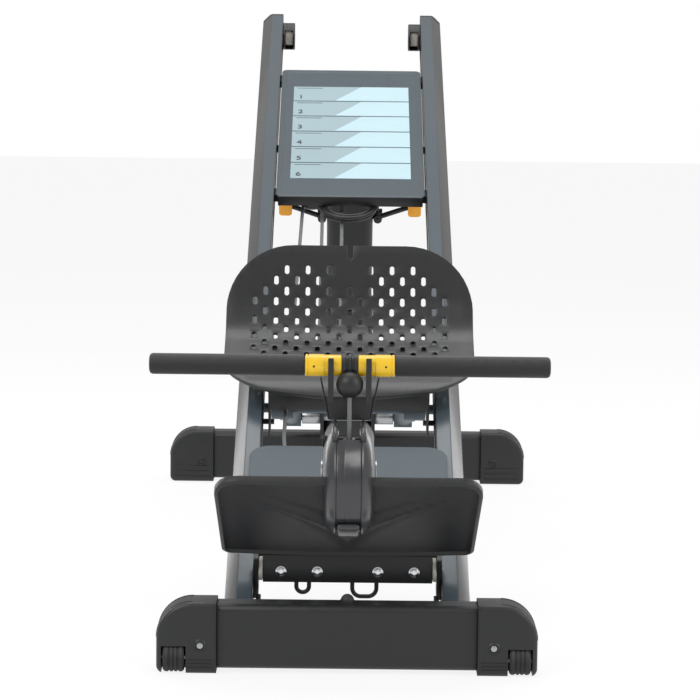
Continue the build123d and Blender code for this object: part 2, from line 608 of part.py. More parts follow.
nose = nose - block(-well_half, well_half, NOSE_Y - 72, NOSE_Y + 40, NOSE_Z, NOSE_Z + NOSE_R + 5)
nose = nose - block(-well_half, well_half, NOSE_Y, NOSE_Y + NOSE_R + 5, NOSE_Z - 74, NOSE_Z + 40)
parts["nose_housing"] = nose - rod_x(6, -60, 60, NOSE_Y, NOSE_Z)

CRADLE_Y0 = 12.0
CRADLE_Y1 = 46.0
CRADLE_LOW = NOSE_Z + NOSE_R - 8
CRADLE_HIGH = HANDLE_Z - GRIP_R - 33
blade_flare = Line((32, CRADLE_LOW), (47, HANDLE_Z - GRIP_R - 3))
FRONT_PLANE = Plane(origin=(0, 0, 0), x_dir=(1, 0, 0), z_dir=(0, -1, 0))
nose_clear = rod_x(NOSE_R, -60, 60, NOSE_Y, NOSE_Z)
blade = Pos(0, CRADLE_Y1 - 4, 0) * extrude(FRONT_PLANE * trace(blade_flare, 2.5), 26) - nose_clear
both("cradle_blades", blade)
cradle = Pos(0, CRADLE_Y1, 0) * extrude(
    FRONT_PLANE * make_face(Polyline(
        (-30, CRADLE_LOW - 12), (30, CRADLE_LOW - 12), (37, CRADLE_HIGH), (-37, CRADLE_HIGH), close=True
    )), CRADLE_Y1 - CRADLE_Y0,
)
cradle = cradle - nose_clear - mirrored(blade) - blade
FINGER_IN = 26.0
FINGER_OUT = 35.0
finger_front = HANDLE_Y - GRIP_R - 2
finger = block(
    FINGER_IN, FINGER_OUT, finger_front - 6, CRADLE_Y0, CRADLE_HIGH - 8, CRADLE_HIGH
) + block(
    FINGER_IN, FINGER_OUT, finger_front - 6, finger_front, CRADLE_HIGH - 8, HANDLE_Z + 14
) + block(
    FINGER_IN, FINGER_OUT, CRADLE_Y0, HANDLE_Y + 12, CRADLE_HIGH, HANDLE_Z - GRIP_R - 2
)
parts["cradle_body"] = cradle + finger + mirrored(finger)

# ---- handle ----------------------------------------------------------------------------------------
half = HANDLE_LENGTH / 2
HUB_HALF = 13.0
SLEEVE_OUT = 72.0
parts["handle_bar"] = rod_x(HANDLE_BAR_R, -half + 4, half - 4, HANDLE_Y, HANDLE_Z)
grip_tube = rod_x(GRIP_R, SLEEVE_OUT, half, HANDLE_Y, HANDLE_Z) - rod_x(
    HANDLE_BAR_R, SLEEVE_OUT - 1, half - 4, HANDLE_Y, HANDLE_Z
)
both("handle_grips", grip_tube)
SLEEVE_R = GRIP_R + 0.5
both("handle_sleeves", tube_x(SLEEVE_R, HANDLE_BAR_R, HUB_HALF, SLEEVE_OUT, HANDLE_Y, HANDLE_Z))
BALL_Y = HANDLE_Y - 15
BALL_Z = HANDLE_Z - 29
parts["handle_hub"] = tube_x(SLEEVE_R, HANDLE_BAR_R, -HUB_HALF, HUB_HALF, HANDLE_Y, HANDLE_Z)
ball = Pos(0, BALL_Y, BALL_Z) * Sphere(BALL_R)
parts["rope_ball"] = ball - rod_x(SLEEVE_R, -60, 60, HANDLE_Y, HANDLE_Z)

# ---- ropes -----------------------------------------------------------------------------------------
# The handle's rope leaves the nose pulley on its front, towards the ball.
groove_r = NOSE_PULLEY_R - 6 + ROPE_R
to_ball = hypot(BALL_Y - NOSE_Y, BALL_Z - NOSE_Z)
line_angle = atan2(BALL_Z - NOSE_Z, BALL_Y - NOSE_Y)
touch_angle = line_angle + atan2((to_ball ** 2 - groove_r ** 2) ** 0.5, groove_r)
touch = (NOSE_Y + groove_r * cos(touch_angle), NOSE_Z + groove_r * sin(touch_angle))
reach = hypot(BALL_Y - touch[0], BALL_Z - touch[1])
ball_foot = (
    BALL_Y - (BALL_Y - touch[0]) * (BALL_R + 0.3) / reach,
    BALL_Z - (BALL_Z - touch[1]) * (BALL_R + 0.3) / reach,
)
parts["handle_rope"] = sweep_round([(0, *touch), (0, *ball_foot)], None, ROPE_R)

# Round the pulley's front, back under it, then up between the rails to the sheave.
wrap_end = (NOSE_Y, NOSE_Z - groove_r)
wrap_mid_angle = (touch_angle + radians(270)) / 2
wrap_mid = (NOSE_Y + groove_r * cos(wrap_mid_angle), NOSE_Z + groove_r * sin(wrap_mid_angle))
wrap = ThreePointArc((0, *touch), (0, *wrap_mid), (0, *wrap_end))
wrap_section = Plane(origin=wrap @ 0, z_dir=wrap % 0) * Circle(ROPE_R)
nose_wrap = sweep(wrap_section, path=wrap)


def rail_rope(points, radii):
    """A rope drawn in rail coordinates."""
    return on_rail(sweep_round(points, radii, ROPE_R))


tail_y, tail_z = wrap_end
tail_u = (tail_y - RAIL_LOW_Y) * cos(SLOPE) + (tail_z - RAIL_LOW_Z) * sin(SLOPE)
tail_w = -(tail_y - RAIL_LOW_Y) * sin(SLOPE) + (tail_z - RAIL_LOW_Z) * cos(SLOPE)
run = 60.0
long_run = rail_rope(
    [(0, tail_u, tail_w), (0, tail_u + run * cos(SLOPE), tail_w - run * sin(SLOPE)),
     (-20, CROSS_AT + 28, -9.5), (-ARM_X + 6, PAD_END - 5, -12),
     (SHEAVE_X - SHEAVE_R, SHEAVE_U, ROPE_W)],
    [50, 120, 400],
)
group("drive_rope", nose_wrap, long_run)
seat_path_rope = (
    Line((SHEAVE_X + SHEAVE_R, SHEAVE_U, ROPE_W), (SHEAVE_X + SHEAVE_R, CARRIAGE_SHEAVE_U, ROPE_W))
    + ThreePointArc(
        (SHEAVE_X + SHEAVE_R, CARRIAGE_SHEAVE_U, ROPE_W),
        (CARRIAGE_SHEAVE_X, CARRIAGE_SHEAVE_U - SHEAVE_R, ROPE_W),
        (rope_end_x, CARRIAGE_SHEAVE_U, ROPE_W),
    )
    + Line((rope_end_x, CARRIAGE_SHEAVE_U, ROPE_W), (rope_end_x, BAR_U0, ROPE_W))
)
run_section = Plane(origin=(SHEAVE_X + SHEAVE_R, SHEAVE_U, ROPE_W), z_dir=(0, -1, 0)) * Circle(ROPE_R)
parts["seat_rope"] = on_rail(sweep(run_section, path=seat_path_rope))


def grooved_sheave(x, u):
    """A small sheave that lies in the plane of the ropes."""
    body = rod_z(SHEAVE_R + 4, ROPE_W - SHEAVE_HALF, ROPE_W + SHEAVE_HALF, x, u)
    groove = rod_z(SHEAVE_R + 9, ROPE_W - ROPE_R - 0.8, ROPE_W + ROPE_R + 0.8, x, u) - rod_z(
        SHEAVE_R - ROPE_R - 0.4, ROPE_W - 9, ROPE_W + 9, x, u
    )
    bore = rod_z(SHEAVE_PIN_R + RUNNING, ROPE_W - 20, ROPE_W + 20, x, u)
    return body - groove - bore


parts["head_sheave"] = on_rail(grooved_sheave(SHEAVE_X, SHEAVE_U))
parts["carriage_sheave"] = on_rail(grooved_sheave(CARRIAGE_SHEAVE_X, CARRIAGE_SHEAVE_U))

# ---- footplate -------------------------------------------------------------------------------------
lean = radians(PLATE_LEAN)
PLATE = Plane(
    origin=(0, *PLATE_BOTTOM), x_dir=(1, 0, 0), z_dir=(0, -sin(lean), -cos(lean))
)
SLOT_HALF = 50.0
SLOT_FROM = 54.0
sheet = make_face(Polyline(
    (-PLATE_WIDTH_LOW / 2, 0), (PLATE_WIDTH_LOW / 2, 0), (PLATE_WIDTH_HIGH / 2, PLATE_LENGTH),
    (-PLATE_WIDTH_HIGH / 2, PLATE_LENGTH), close=True,
))
sheet = fillet(sheet.vertices(), 22)
slot = make_face(Polyline(
    (-SLOT_HALF, SLOT_FROM), (SLOT_HALF, SLOT_FROM), (SLOT_HALF, PLATE_LENGTH + 5),
    (-SLOT_HALF, PLATE_LENGTH + 5), close=True,
))
footplate = extrude(PLATE * (sheet - slot), -PLATE_THICKNESS)
parts["footplate"] = footplate

BRACKET_HALF = 140.0
foot_bracket = block(
    -BRACKET_HALF, BRACKET_HALF, PLATE_BOTTOM[0] - 4, PLATE_BOTTOM[0], PIVOT_Z - 20, PLATE_BOTTOM[1] + 2
)
bracket_ear = block(
    BRACKET_HALF - 5, BRACKET_HALF, PLATE_BOTTOM[0], PIVOT_Y + 14, PIVOT_Z - 16, PIVOT_Z + 16
)
PIVOT_R = 6.0
foot_bracket = (foot_bracket + bracket_ear + mirrored(bracket_ear)) - rod_x(
    PIVOT_R + RUNNING, -200, 200, PIVOT_Y, PIVOT_Z
)
parts["foot_bracket"] = foot_bracket - footplate
BOLT_X = (110.0, 50.0)
BOLT_R = 7.0
BRACKET_T = 4.0
bracket_face = PLATE_BOTTOM[0] - BRACKET_T
both("foot_bracket_bolts", *[rod_y(BOLT_R, bracket_face - 5, bracket_face, x, PIVOT_Z - 2) for x in BOLT_X])
both("pivot_discs", tube_x(20, PIVOT_R + RUNNING, BRACKET_HALF + FREE, BRACKET_HALF + 7, PIVOT_Y, PIVOT_Z))
ear_x0 = BRACKET_HALF + 7 + FREE
pivot_u0 = (PIVOT_Y - RAIL_LOW_Y) * cos(SLOPE) + (PIVOT_Z - RAIL_LOW_Z) * sin(SLOPE)
pivot_ear = on_rail(block(ear_x0, RAIL_INNER, pivot_u0 - 18, pivot_u0 + 18, -40, 32)) + rod_x(
    PIVOT_R, BRACKET_HALF - 7, RAIL_INNER, PIVOT_Y, PIVOT_Z
)
both("foot_pivot_ears", pivot_ear)

# ---- hanging cables under the foot bracket and the placard --------------------------------------------
CABLE_R = 3.6
LOOP_X = -74.0
LOOP_HALF = 10.5
loop_y = PLATE_BOTTOM[0] + CABLE_R + 0.1
loop_top = PIVOT_Z + 8
loop_low = loop_top - 46
hanging_loop = sweep_round(
    [(LOOP_X - LOOP_HALF, loop_y, loop_top), (LOOP_X - LOOP_HALF, loop_y, loop_low),
     (LOOP_X + LOOP_HALF, loop_y, loop_low), (LOOP_X + LOOP_HALF, loop_y, loop_top)],
    [LOOP_HALF - 0.2, LOOP_HALF - 0.2], CABLE_R,
)
WIDE_LOOP_X = 28.0
WIDE_LOOP_HALF = 20.0
WIDE_LOOP_ROUND = 14.0
wide_low = loop_low - 6
wide_loop = sweep_round(
    [(WIDE_LOOP_X - WIDE_LOOP_HALF, loop_y, loop_top), (WIDE_LOOP_X - WIDE_LOOP_HALF, loop_y, wide_low),
     (WIDE_LOOP_X + WIDE_LOOP_HALF, loop_y, wide_low), (WIDE_LOOP_X + WIDE_LOOP_HALF, loop_y, loop_top)],
    [WIDE_LOOP_ROUND, WIDE_LOOP_ROUND], CABLE_R,
)
group("foot_cable", hanging_loop, wide_loop)
cable_turns = []
for radius, w in ((58.0, -31.0), (49.0, -31.0), (54.0, -40.0), (45.0, -40.0)):
    arc = CenterArc((0, 0), radius, 180, 180)
    section = Plane(origin=arc @ 0, z_dir=arc % 0) * Circle(CABLE_R)
    cable_turns.append(on_rail(Pos(TURN_X, BAR_U0, w) * sweep(section, path=arc)))
group("guide_cables", *cable_turns)


# ---- write --------------------------------------------------------------------------------------------
def main():
    """Move the machine so that its origin is the centre of its base, and write each piece."""
    everything = Compound(children=[Compound(shape.solids()) for shape in parts.values()])
    box = everything.bounding_box()
    shift = Pos(0, -(box.min.Y + box.max.Y) / 2, 0)
    print("layout moved in y by", round(-(box.min.Y + box.max.Y) / 2, 4))
    print("size", [round(v, 3) for v in (box.size.X, box.size.Y, box.size.Z)], "low z", round(box.min.Z, 4))
    os.makedirs("parts", exist_ok=True)
    for name, shape in parts.items():
        export_step(shift * Compound(shape.solids()), os.path.join("parts", name + ".step"))
    print(len(parts), "nodes")


main()
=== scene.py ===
"""The looks of an incline rowing trainer: a moulded seat on two inclined rails, a handle in its cradle,
a footplate, a numbered exercise board and the beams that the machine stands on."""
import json
from math import atan2, cos, degrees, hypot, pi, radians, sin

import bmesh
import bpy
from mathutils import Matrix, Vector

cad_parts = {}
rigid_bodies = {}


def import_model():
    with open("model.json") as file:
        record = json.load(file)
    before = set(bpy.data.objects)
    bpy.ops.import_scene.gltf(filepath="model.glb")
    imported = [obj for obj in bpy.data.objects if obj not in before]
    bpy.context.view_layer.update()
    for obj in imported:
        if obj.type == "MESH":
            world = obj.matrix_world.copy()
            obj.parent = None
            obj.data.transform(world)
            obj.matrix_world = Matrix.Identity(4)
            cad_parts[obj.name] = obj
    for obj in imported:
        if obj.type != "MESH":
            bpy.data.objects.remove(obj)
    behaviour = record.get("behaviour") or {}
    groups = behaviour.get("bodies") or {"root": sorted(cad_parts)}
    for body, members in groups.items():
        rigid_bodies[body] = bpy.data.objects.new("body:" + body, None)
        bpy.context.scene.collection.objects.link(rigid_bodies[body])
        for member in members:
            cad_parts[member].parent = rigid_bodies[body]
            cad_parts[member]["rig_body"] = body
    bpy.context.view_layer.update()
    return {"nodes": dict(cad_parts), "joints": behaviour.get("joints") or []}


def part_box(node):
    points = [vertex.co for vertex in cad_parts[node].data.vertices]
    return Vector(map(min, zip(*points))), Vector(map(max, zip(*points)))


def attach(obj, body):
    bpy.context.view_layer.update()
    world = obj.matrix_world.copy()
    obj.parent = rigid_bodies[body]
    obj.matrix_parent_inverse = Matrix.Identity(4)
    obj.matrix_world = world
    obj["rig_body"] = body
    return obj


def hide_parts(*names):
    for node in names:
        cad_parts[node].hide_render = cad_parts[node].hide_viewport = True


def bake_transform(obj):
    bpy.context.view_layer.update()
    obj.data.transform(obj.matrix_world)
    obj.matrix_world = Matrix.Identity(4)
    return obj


bl_info = {
    "name": "Incline Rowing Trainer",
    "version": (1, 0, 0),
    "blender": (4, 5, 0),
    "location": "3D View > Sidebar > Rower",
    "description": "Builds the finished surfaces of an incline rowing trainer around its frame",
    "category": "Object",
}

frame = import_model()
NODES = frame["nodes"]
JOINTS = {joint["name"]: joint for joint in frame["joints"]}


# ---- places taken from the frame ------------------------------------------------------------------
def points_of(node):
    """Every vertex of a frame node, in metres."""
    return [vertex.co.copy() for vertex in NODES[node].data.vertices]


slide = Vector(JOINTS["seat_slide"]["axis"])
SLOPE = atan2(abs(slide.z), abs(slide.y))
ALONG = Vector((0, cos(SLOPE), sin(SLOPE)))
SQUARE = Vector((0, -sin(SLOPE), cos(SLOPE)))
rail_corners = points_of("rail_right")
RAIL_LOW = min(point.dot(ALONG) for point in rail_corners)
RAIL_TOP = max(point.dot(SQUARE) for point in rail_corners)
RAIL = Matrix((
    (1, 0, 0, 0),
    (0, ALONG.y, SQUARE.y, ALONG.y * RAIL_LOW + SQUARE.y * RAIL_TOP),
    (0, ALONG.z, SQUARE.z, ALONG.z * RAIL_LOW + SQUARE.z * RAIL_TOP),
    (0, 0, 0, 1),
))


def box_on_rail(node):
    """(lowest, highest) corner of a node across, up the slope and above the rails' top plane."""
    inside = RAIL.inverted()
    local = [inside @ point for point in points_of(node)]
    low = Vector([min(point[axis] for point in local) for axis in range(3)])
    high = Vector([max(point[axis] for point in local) for axis in range(3)])
    return low, high


def middle_of(node):
    """The centre of a node's box."""
    low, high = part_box(node)
    return (low + high) / 2


# ---- sizes and colours that can be changed ----------------------------------------------------------
class RowerSizes(bpy.types.PropertyGroup):
    """Sizes of the moulded details."""
    edge_round: bpy.props.FloatProperty(
        name="Edge rounding", description="Radius on the edges of the metal parts",
        default=0.0012, min=0.0002, max=0.004, unit="LENGTH", subtype="DISTANCE")
    slot_width: bpy.props.FloatProperty(
        name="Slot width", description="Width of one vent slot in the seat",
        default=0.0085, min=0.004, max=0.014, unit="LENGTH", subtype="DISTANCE")
    slot_height: bpy.props.FloatProperty(
        name="Slot height", description="Height of one vent slot in the seat",
        default=0.0165, min=0.008, max=0.018, unit="LENGTH", subtype="DISTANCE")
    slot_pitch: bpy.props.FloatProperty(
        name="Slot pitch", description="Distance between slots in one row",
        default=0.039, min=0.03, max=0.06, unit="LENGTH", subtype="DISTANCE")
    slot_rows: bpy.props.IntProperty(
        name="Slot rows", description="Rows of vent slots in the seat", default=12, min=1, max=14)


class RowerColours(bpy.types.PropertyGroup):
    """Colours of the finishes."""
    powder: bpy.props.FloatVectorProperty(
        name="Powder coat", description="Satin black of the steel frame",
        subtype="COLOR", default=(0.012, 0.0125, 0.014), min=0, max=1)
    moulded: bpy.props.FloatVectorProperty(
        name="Moulded black", description="Black of the plastic housings",
        subtype="COLOR", default=(0.014, 0.0145, 0.016), min=0, max=1)
    slate: bpy.props.FloatVectorProperty(
        name="Slate", description="Blue grey of the rails' top strips and the cover",
        subtype="COLOR", default=(0.056, 0.078, 0.094), min=0, max=1)
    yellow: bpy.props.FloatVectorProperty(
        name="Yellow", description="Yellow of the handle's sleeves",
        subtype="COLOR", default=(0.88, 0.55, 0.012), min=0, max=1)
    orange: bpy.props.FloatVectorProperty(
        name="Orange yellow", description="Colour of the release levers' grips",
        subtype="COLOR", default=(0.86, 0.37, 0.012), min=0, max=1)
    board: bpy.props.FloatVectorProperty(
        name="Board band", description="Pale bands of the exercise board",
        subtype="COLOR", default=(0.33, 0.45, 0.49), min=0, max=1)


# ---- shader groups shared by the finishes -----------------------------------------------------------
def new_group(name, inputs, outputs):
    """An empty shader group with named float, colour or vector sockets."""
    tree = bpy.data.node_groups.new(name, "ShaderNodeTree")
    kinds = {"float": "NodeSocketFloat", "colour": "NodeSocketColor", "vector": "NodeSocketVector"}
    for label, kind, value in inputs:
        socket = tree.interface.new_socket(name=label, in_out="INPUT", socket_type=kinds[kind])
        if value is not None:
            socket.default_value = value
    for label, kind in outputs:
        tree.interface.new_socket(name=label, in_out="OUTPUT", socket_type=kinds[kind])
    return tree, tree.nodes.new("NodeGroupInput"), tree.nodes.new("NodeGroupOutput")


def noise_node(tree, vector, scale, detail=4.0, rough=0.55):
    """A noise texture whose scale is a socket or a number."""
    node = tree.nodes.new("ShaderNodeTexNoise")
    node.inputs["Detail"].default_value = detail
    node.inputs["Roughness"].default_value = rough
    tree.links.new(vector, node.inputs["Vector"])
    if isinstance(scale, (int, float)):
        node.inputs["Scale"].default_value = scale
    else:
        tree.links.new(scale, node.inputs["Scale"])
    return node


def maths(tree, operation, first, second):
    """A math node on two sockets or numbers."""
    node = tree.nodes.new("ShaderNodeMath")
    node.operation = operation
    for socket, value in zip(node.inputs, (first, second)):
        if isinstance(value, (int, float)):
            socket.default_value = value
        else:
            tree.links.new(value, socket)
    return node.outputs[0]


def tone_group():
    """Slow changes of colour and gloss over a surface, with dust where it faces up."""
    tree, source, sink = new_group(
        "tone",
        [("Vector", "vector", None), ("Colour", "colour", (0.5, 0.5, 0.5, 1)),
         ("Spread", "float", 0.15), ("Scale", "float", 6.0),
         ("Gloss", "float", 0.4), ("Gloss spread", "float", 0.1), ("Dust", "float", 0.05)],
        [("Colour", "colour"), ("Roughness", "float")],
    )
    slow = noise_node(tree, source.outputs["Vector"], source.outputs["Scale"])
    fine = noise_node(tree, source.outputs["Vector"], 90.0, detail=3.0)
    centred = maths(tree, "SUBTRACT", slow.outputs["Fac"], 0.5)
    factor = maths(tree, "MULTIPLY_ADD", centred, source.outputs["Spread"])
    factor.node.inputs[2].default_value = 1.0
    scaled = tree.nodes.new("ShaderNodeVectorMath")
    scaled.operation = "SCALE"
    tree.links.new(source.outputs["Colour"], scaled.inputs[0])
    tree.links.new(factor, scaled.inputs["Scale"])
    geometry = tree.nodes.new("ShaderNodeNewGeometry")
    split = tree.nodes.new("ShaderNodeSeparateXYZ")
    tree.links.new(geometry.outputs["Normal"], split.inputs[0])
    upward = maths(tree, "MAXIMUM", split.outputs["Z"], 0.0)
    specks = maths(tree, "MULTIPLY", upward, fine.outputs["Fac"])
    dust = maths(tree, "MULTIPLY", specks, source.outputs["Dust"])
    mix = tree.nodes.new("ShaderNodeMix")
    mix.data_type = "RGBA"
    mix.inputs["B"].default_value = (0.55, 0.55, 0.53, 1)
    tree.links.new(dust, mix.inputs["Factor"])
    tree.links.new(scaled.outputs[0], mix.inputs["A"])
    tree.links.new(mix.outputs["Result"], sink.inputs["Colour"])
    gloss_noise = maths(tree, "SUBTRACT", fine.outputs["Fac"], 0.5)
    gloss = maths(tree, "MULTIPLY_ADD", gloss_noise, source.outputs["Gloss spread"])
    tree.links.new(source.outputs["Gloss"], gloss.node.inputs[2])
    tree.links.new(gloss, sink.inputs["Roughness"])
    return tree


def grain_group():
    """Height of a fine moulded or sprayed grain, with a coarser swell under it."""
    tree, source, sink = new_group(
        "grain",
        [("Vector", "vector", None), ("Scale", "float", 900.0), ("Swell", "float", 0.3)],
        [("Height", "float")],
    )
    fine = noise_node(tree, source.outputs["Vector"], source.outputs["Scale"], detail=2.0)
    broad_scale = maths(tree, "MULTIPLY", source.outputs["Scale"], 0.12)
    broad = noise_node(tree, source.outputs["Vector"], broad_scale, detail=1.0)
    swell = maths(tree, "MULTIPLY", broad.outputs["Fac"], source.outputs["Swell"])
    tree.links.new(maths(tree, "ADD", fine.outputs["Fac"], swell), sink.inputs["Height"])
    return tree


def cell_group():
    """Height of closed-cell foam or rubber skin: small dimples of uneven size."""
    tree, source, sink = new_group(
        "cells", [("Vector", "vector", None), ("Scale", "float", 700.0)], [("Height", "float")]
    )
    cells = tree.nodes.new("ShaderNodeTexVoronoi")
    cells.feature = "SMOOTH_F1"
    tree.links.new(source.outputs["Vector"], cells.inputs["Vector"])
    tree.links.new(source.outputs["Scale"], cells.inputs["Scale"])
    tree.links.new(cells.outputs["Distance"], sink.inputs["Height"])
    return tree


def braid_group():
    """Height of a braided rope's strands, crossing both ways round it."""
    tree, source, sink = new_group(
        "braid", [("Vector", "vector", None), ("Scale", "float", 420.0)], [("Height", "float")]
    )
    turned = []
    for angle in (0.8, -0.8):
        mapping = tree.nodes.new("ShaderNodeMapping")
        mapping.inputs["Rotation"].default_value = (angle, 0.5, angle)
        tree.links.new(source.outputs["Vector"], mapping.inputs["Vector"])
        wave = tree.nodes.new("ShaderNodeTexWave")
        wave.inputs["Distortion"].default_value = 0.4
        tree.links.new(mapping.outputs["Vector"], wave.inputs["Vector"])
        tree.links.new(source.outputs["Scale"], wave.inputs["Scale"])
        turned.append(wave.outputs["Fac"])
    tree.links.new(maths(tree, "MAXIMUM", *turned), sink.inputs["Height"])
    return tree


GROUPS = {}
FINISHES = {}


def finish_material(name, colour, gloss, metallic=0.0, spread=0.2, dust=0.05, surface="grain",
                    scale=900.0, depth=0.00006, coat=0.0, sheen=0.0, gloss_spread=0.12, swell=0.3):
    """A finish made from the shared groups; its plain numbers are set on the shader itself."""
    material = bpy.data.materials.new(name)
    material.use_nodes = True
    tree = material.node_tree
    shader = tree.nodes["Principled BSDF"]
    shader.inputs["Metallic"].default_value = metallic
    shader.inputs["Coat Weight"].default_value = coat
    shader.inputs["Coat Roughness"].default_value = 0.15
    shader.inputs["Sheen Weight"].default_value = sheen
    place = tree.nodes.new("ShaderNodeTexCoord").outputs["Object"]
    tone = tree.nodes.new("ShaderNodeGroup")
    tone.node_tree = GROUPS["tone"]
    tone.inputs["Colour"].default_value = (*colour, 1)
    levels = (("Spread", spread), ("Gloss", gloss), ("Gloss spread", gloss_spread), ("Dust", dust))
    for label, value in levels:
        tone.inputs[label].default_value = value
    tree.links.new(place, tone.inputs["Vector"])
    tree.links.new(tone.outputs["Colour"], shader.inputs["Base Color"])
    tree.links.new(tone.outputs["Roughness"], shader.inputs["Roughness"])
    relief = tree.nodes.new("ShaderNodeGroup")
    relief.node_tree = GROUPS[surface]
    relief.inputs["Scale"].default_value = scale
    if surface == "grain":
        relief.inputs["Swell"].default_value = swell
    tree.links.new(place, relief.inputs["Vector"])
    bump = tree.nodes.new("ShaderNodeBump")
    bump.inputs["Strength"].default_value = 0.6
    bump.inputs["Distance"].default_value = depth
    tree.links.new(relief.outputs["Height"], bump.inputs["Height"])
    tree.links.new(bump.outputs["Normal"], shader.inputs["Normal"])
    FINISHES[name] = material
    return material


def make_finishes(colours):
    """Every finish on the machine, each named for what it is."""
    GROUPS.update(tone=tone_group(), grain=grain_group(), cells=cell_group(), braid=braid_group())
    finish_material("powder_coat", colours.powder, 0.42, scale=1400.0, depth=0.00005)
    finish_material("rail_paint", colours.powder, 0.30, scale=1200.0, depth=0.00003, coat=0.25)
    finish_material("rail_strip", colours.slate, 0.36, scale=900.0, depth=0.00003, coat=0.15)
    finish_material("moulded_black", colours.moulded, 0.44, scale=1100.0, depth=0.00008)
    finish_material("seat_black", colours.moulded, 0.40, scale=1500.0, depth=0.00006, coat=0.1)
    finish_material("nose_black", (0.03, 0.031, 0.034), 0.3, scale=900.0, depth=0.00003, coat=0.35)
    finish_material("slate_plastic", colours.slate, 0.5, scale=1000.0, depth=0.00009)
    finish_material("yellow", colours.yellow, 0.36, spread=0.08, scale=900.0, coat=0.2)
    finish_material("orange_yellow", colours.orange, 0.36, spread=0.08, scale=900.0, coat=0.2)
    finish_material("foam", (0.013, 0.013, 0.0135), 0.72, surface="cells", scale=620.0,
                    depth=0.00018, dust=0.1, sheen=0.15)
    finish_material("rubber", (0.016, 0.016, 0.017), 0.66, surface="cells", scale=900.0,
                    depth=0.0001, dust=0.16)
    finish_material("steel", (0.42, 0.43, 0.44), 0.32, metallic=1.0, spread=0.1, depth=0.00003)
    finish_material("chrome", (0.72, 0.73, 0.75), 0.12, metallic=1.0, spread=0.04,
                    gloss_spread=0.05, dust=0.0, depth=0.00001)
    finish_material("nylon", (0.56, 0.54, 0.47), 0.5, spread=0.12, scale=700.0)
    finish_material("rope", (0.15, 0.155, 0.16), 0.75, surface="braid", scale=260.0,
                    depth=0.0006, sheen=0.2)
    finish_material("cable", (0.014, 0.014, 0.015), 0.42, scale=600.0, depth=0.00004)
    finish_material("placard", (0.017, 0.018, 0.02), 0.22, scale=500.0, depth=0.00001, coat=0.5)
    finish_material("board_band", colours.board, 0.3, spread=0.1, scale=500.0, depth=0.00001, coat=0.4)
    finish_material("board_light", [min(1.0, c * 1.55) for c in colours.board], 0.3, spread=0.08,
                    scale=500.0, depth=0.00001, coat=0.4)
    finish_material("board_ink", (0.02, 0.022, 0.025), 0.45, spread=0.05, depth=0.00001)


# ---- modelling helpers ------------------------------------------------------------------------------
SHARP = radians(32)
SMOOTH = radians(38)


def finish_mesh(mesh_edit, name, finish, body, replaces=(), turn_out=True):
    """Turns a bmesh into a piece: faces outwards, smooth but for sharp edges, riding on its body."""
    if turn_out:
        bmesh.ops.recalc_face_normals(mesh_edit, faces=mesh_edit.faces[:])
    mesh = bpy.data.meshes.new(name)
    mesh_edit.to_mesh(mesh)
    mesh_edit.free()
    mesh.shade_smooth()
    mesh.set_sharp_from_angle(angle=SMOOTH)
    piece = bpy.data.objects.new(name, mesh)
    bpy.context.scene.collection.objects.link(piece)
    for label in ([finish] if isinstance(finish, str) else finish):
        mesh.materials.append(FINISHES[label])
    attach(piece, body)
    if replaces:
        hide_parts(*replaces)
    return piece


def soften(mesh_edit, width, segments=2, angle=SHARP):
    """Rounds every edge that is sharper than the angle."""
    edges = [
        edge for edge in mesh_edit.edges
        if len(edge.link_faces) == 2 and edge.calc_face_angle(0) > angle
    ]
    if edges and width > 0:
        bmesh.ops.bevel(
            mesh_edit, geom=edges, offset=width, offset_type="OFFSET", affect="EDGES",
            segments=segments, profile=0.5, material=-1, clamp_overlap=True,
        )


def copy_of(node):
    """A frame node's own mesh with its loose triangles joined into clean faces."""
    mesh_edit = bmesh.new()
    mesh_edit.from_mesh(NODES[node].data)
    bmesh.ops.remove_doubles(mesh_edit, verts=mesh_edit.verts[:], dist=1e-6)
    bmesh.ops.dissolve_limit(
        mesh_edit, angle_limit=radians(0.6), verts=mesh_edit.verts[:], edges=mesh_edit.edges[:]
    )
    return mesh_edit


def finished(node, finish, width=None, segments=2, paint=None):
    """A frame node with its edges rounded; paint may give faces another finish by their place."""
    edit = copy_of(node)
    soften(edit, bpy.context.scene.rower_sizes.edge_round if width is None else width, segments)
    if paint:
        for face in edit.faces:
            face.material_index = paint(face.calc_center_median(), face.normal)
    return finish_mesh(
        edit, node + "_finished", finish, NODES[node]["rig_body"], replaces=(node,), turn_out=False
    )


def bar(edit, size, place=Matrix.Identity(4), width=0.0, segments=2):
    """Adds a box of a size, put in place, with its edges rounded."""
    made = bmesh.ops.create_cube(edit, size=1.0)["verts"]
    bmesh.ops.scale(edit, vec=size, verts=made)
    if width:
        edges = list({edge for vertex in made for edge in vertex.link_edges})
        made = bmesh.ops.bevel(
            edit, geom=edges, offset=width, affect="EDGES", segments=segments, profile=0.5,
            material=-1, clamp_overlap=True,
        )["verts"]
        made = list({vertex for vertex in made if vertex.is_valid})
    bmesh.ops.transform(edit, matrix=place, verts=made)
    return made


def lathe(edit, profile, place, steps=64):
    """Spins (distance along the axis, radius) points about the X axis and puts the result in place."""
    start = [edit.verts.new((along, 0, radius)) for along, radius in profile]
    line = [edit.edges.new(two) for two in zip(start, start[1:])]
    made = bmesh.ops.spin(
        edit, geom=start + line, cent=(0, 0, 0), axis=(1, 0, 0), angle=2 * pi, steps=steps,
        use_merge=True, use_duplicate=False,
    )
    verts = list({vertex for vertex in edit.verts if vertex.is_valid and not vertex.tag})
    bmesh.ops.remove_doubles(edit, verts=verts, dist=1e-6)
    verts = [vertex for vertex in edit.verts if not vertex.tag]
    bmesh.ops.transform(edit, matrix=place, verts=verts)
    for vertex in verts:
        vertex.tag = True
    return made


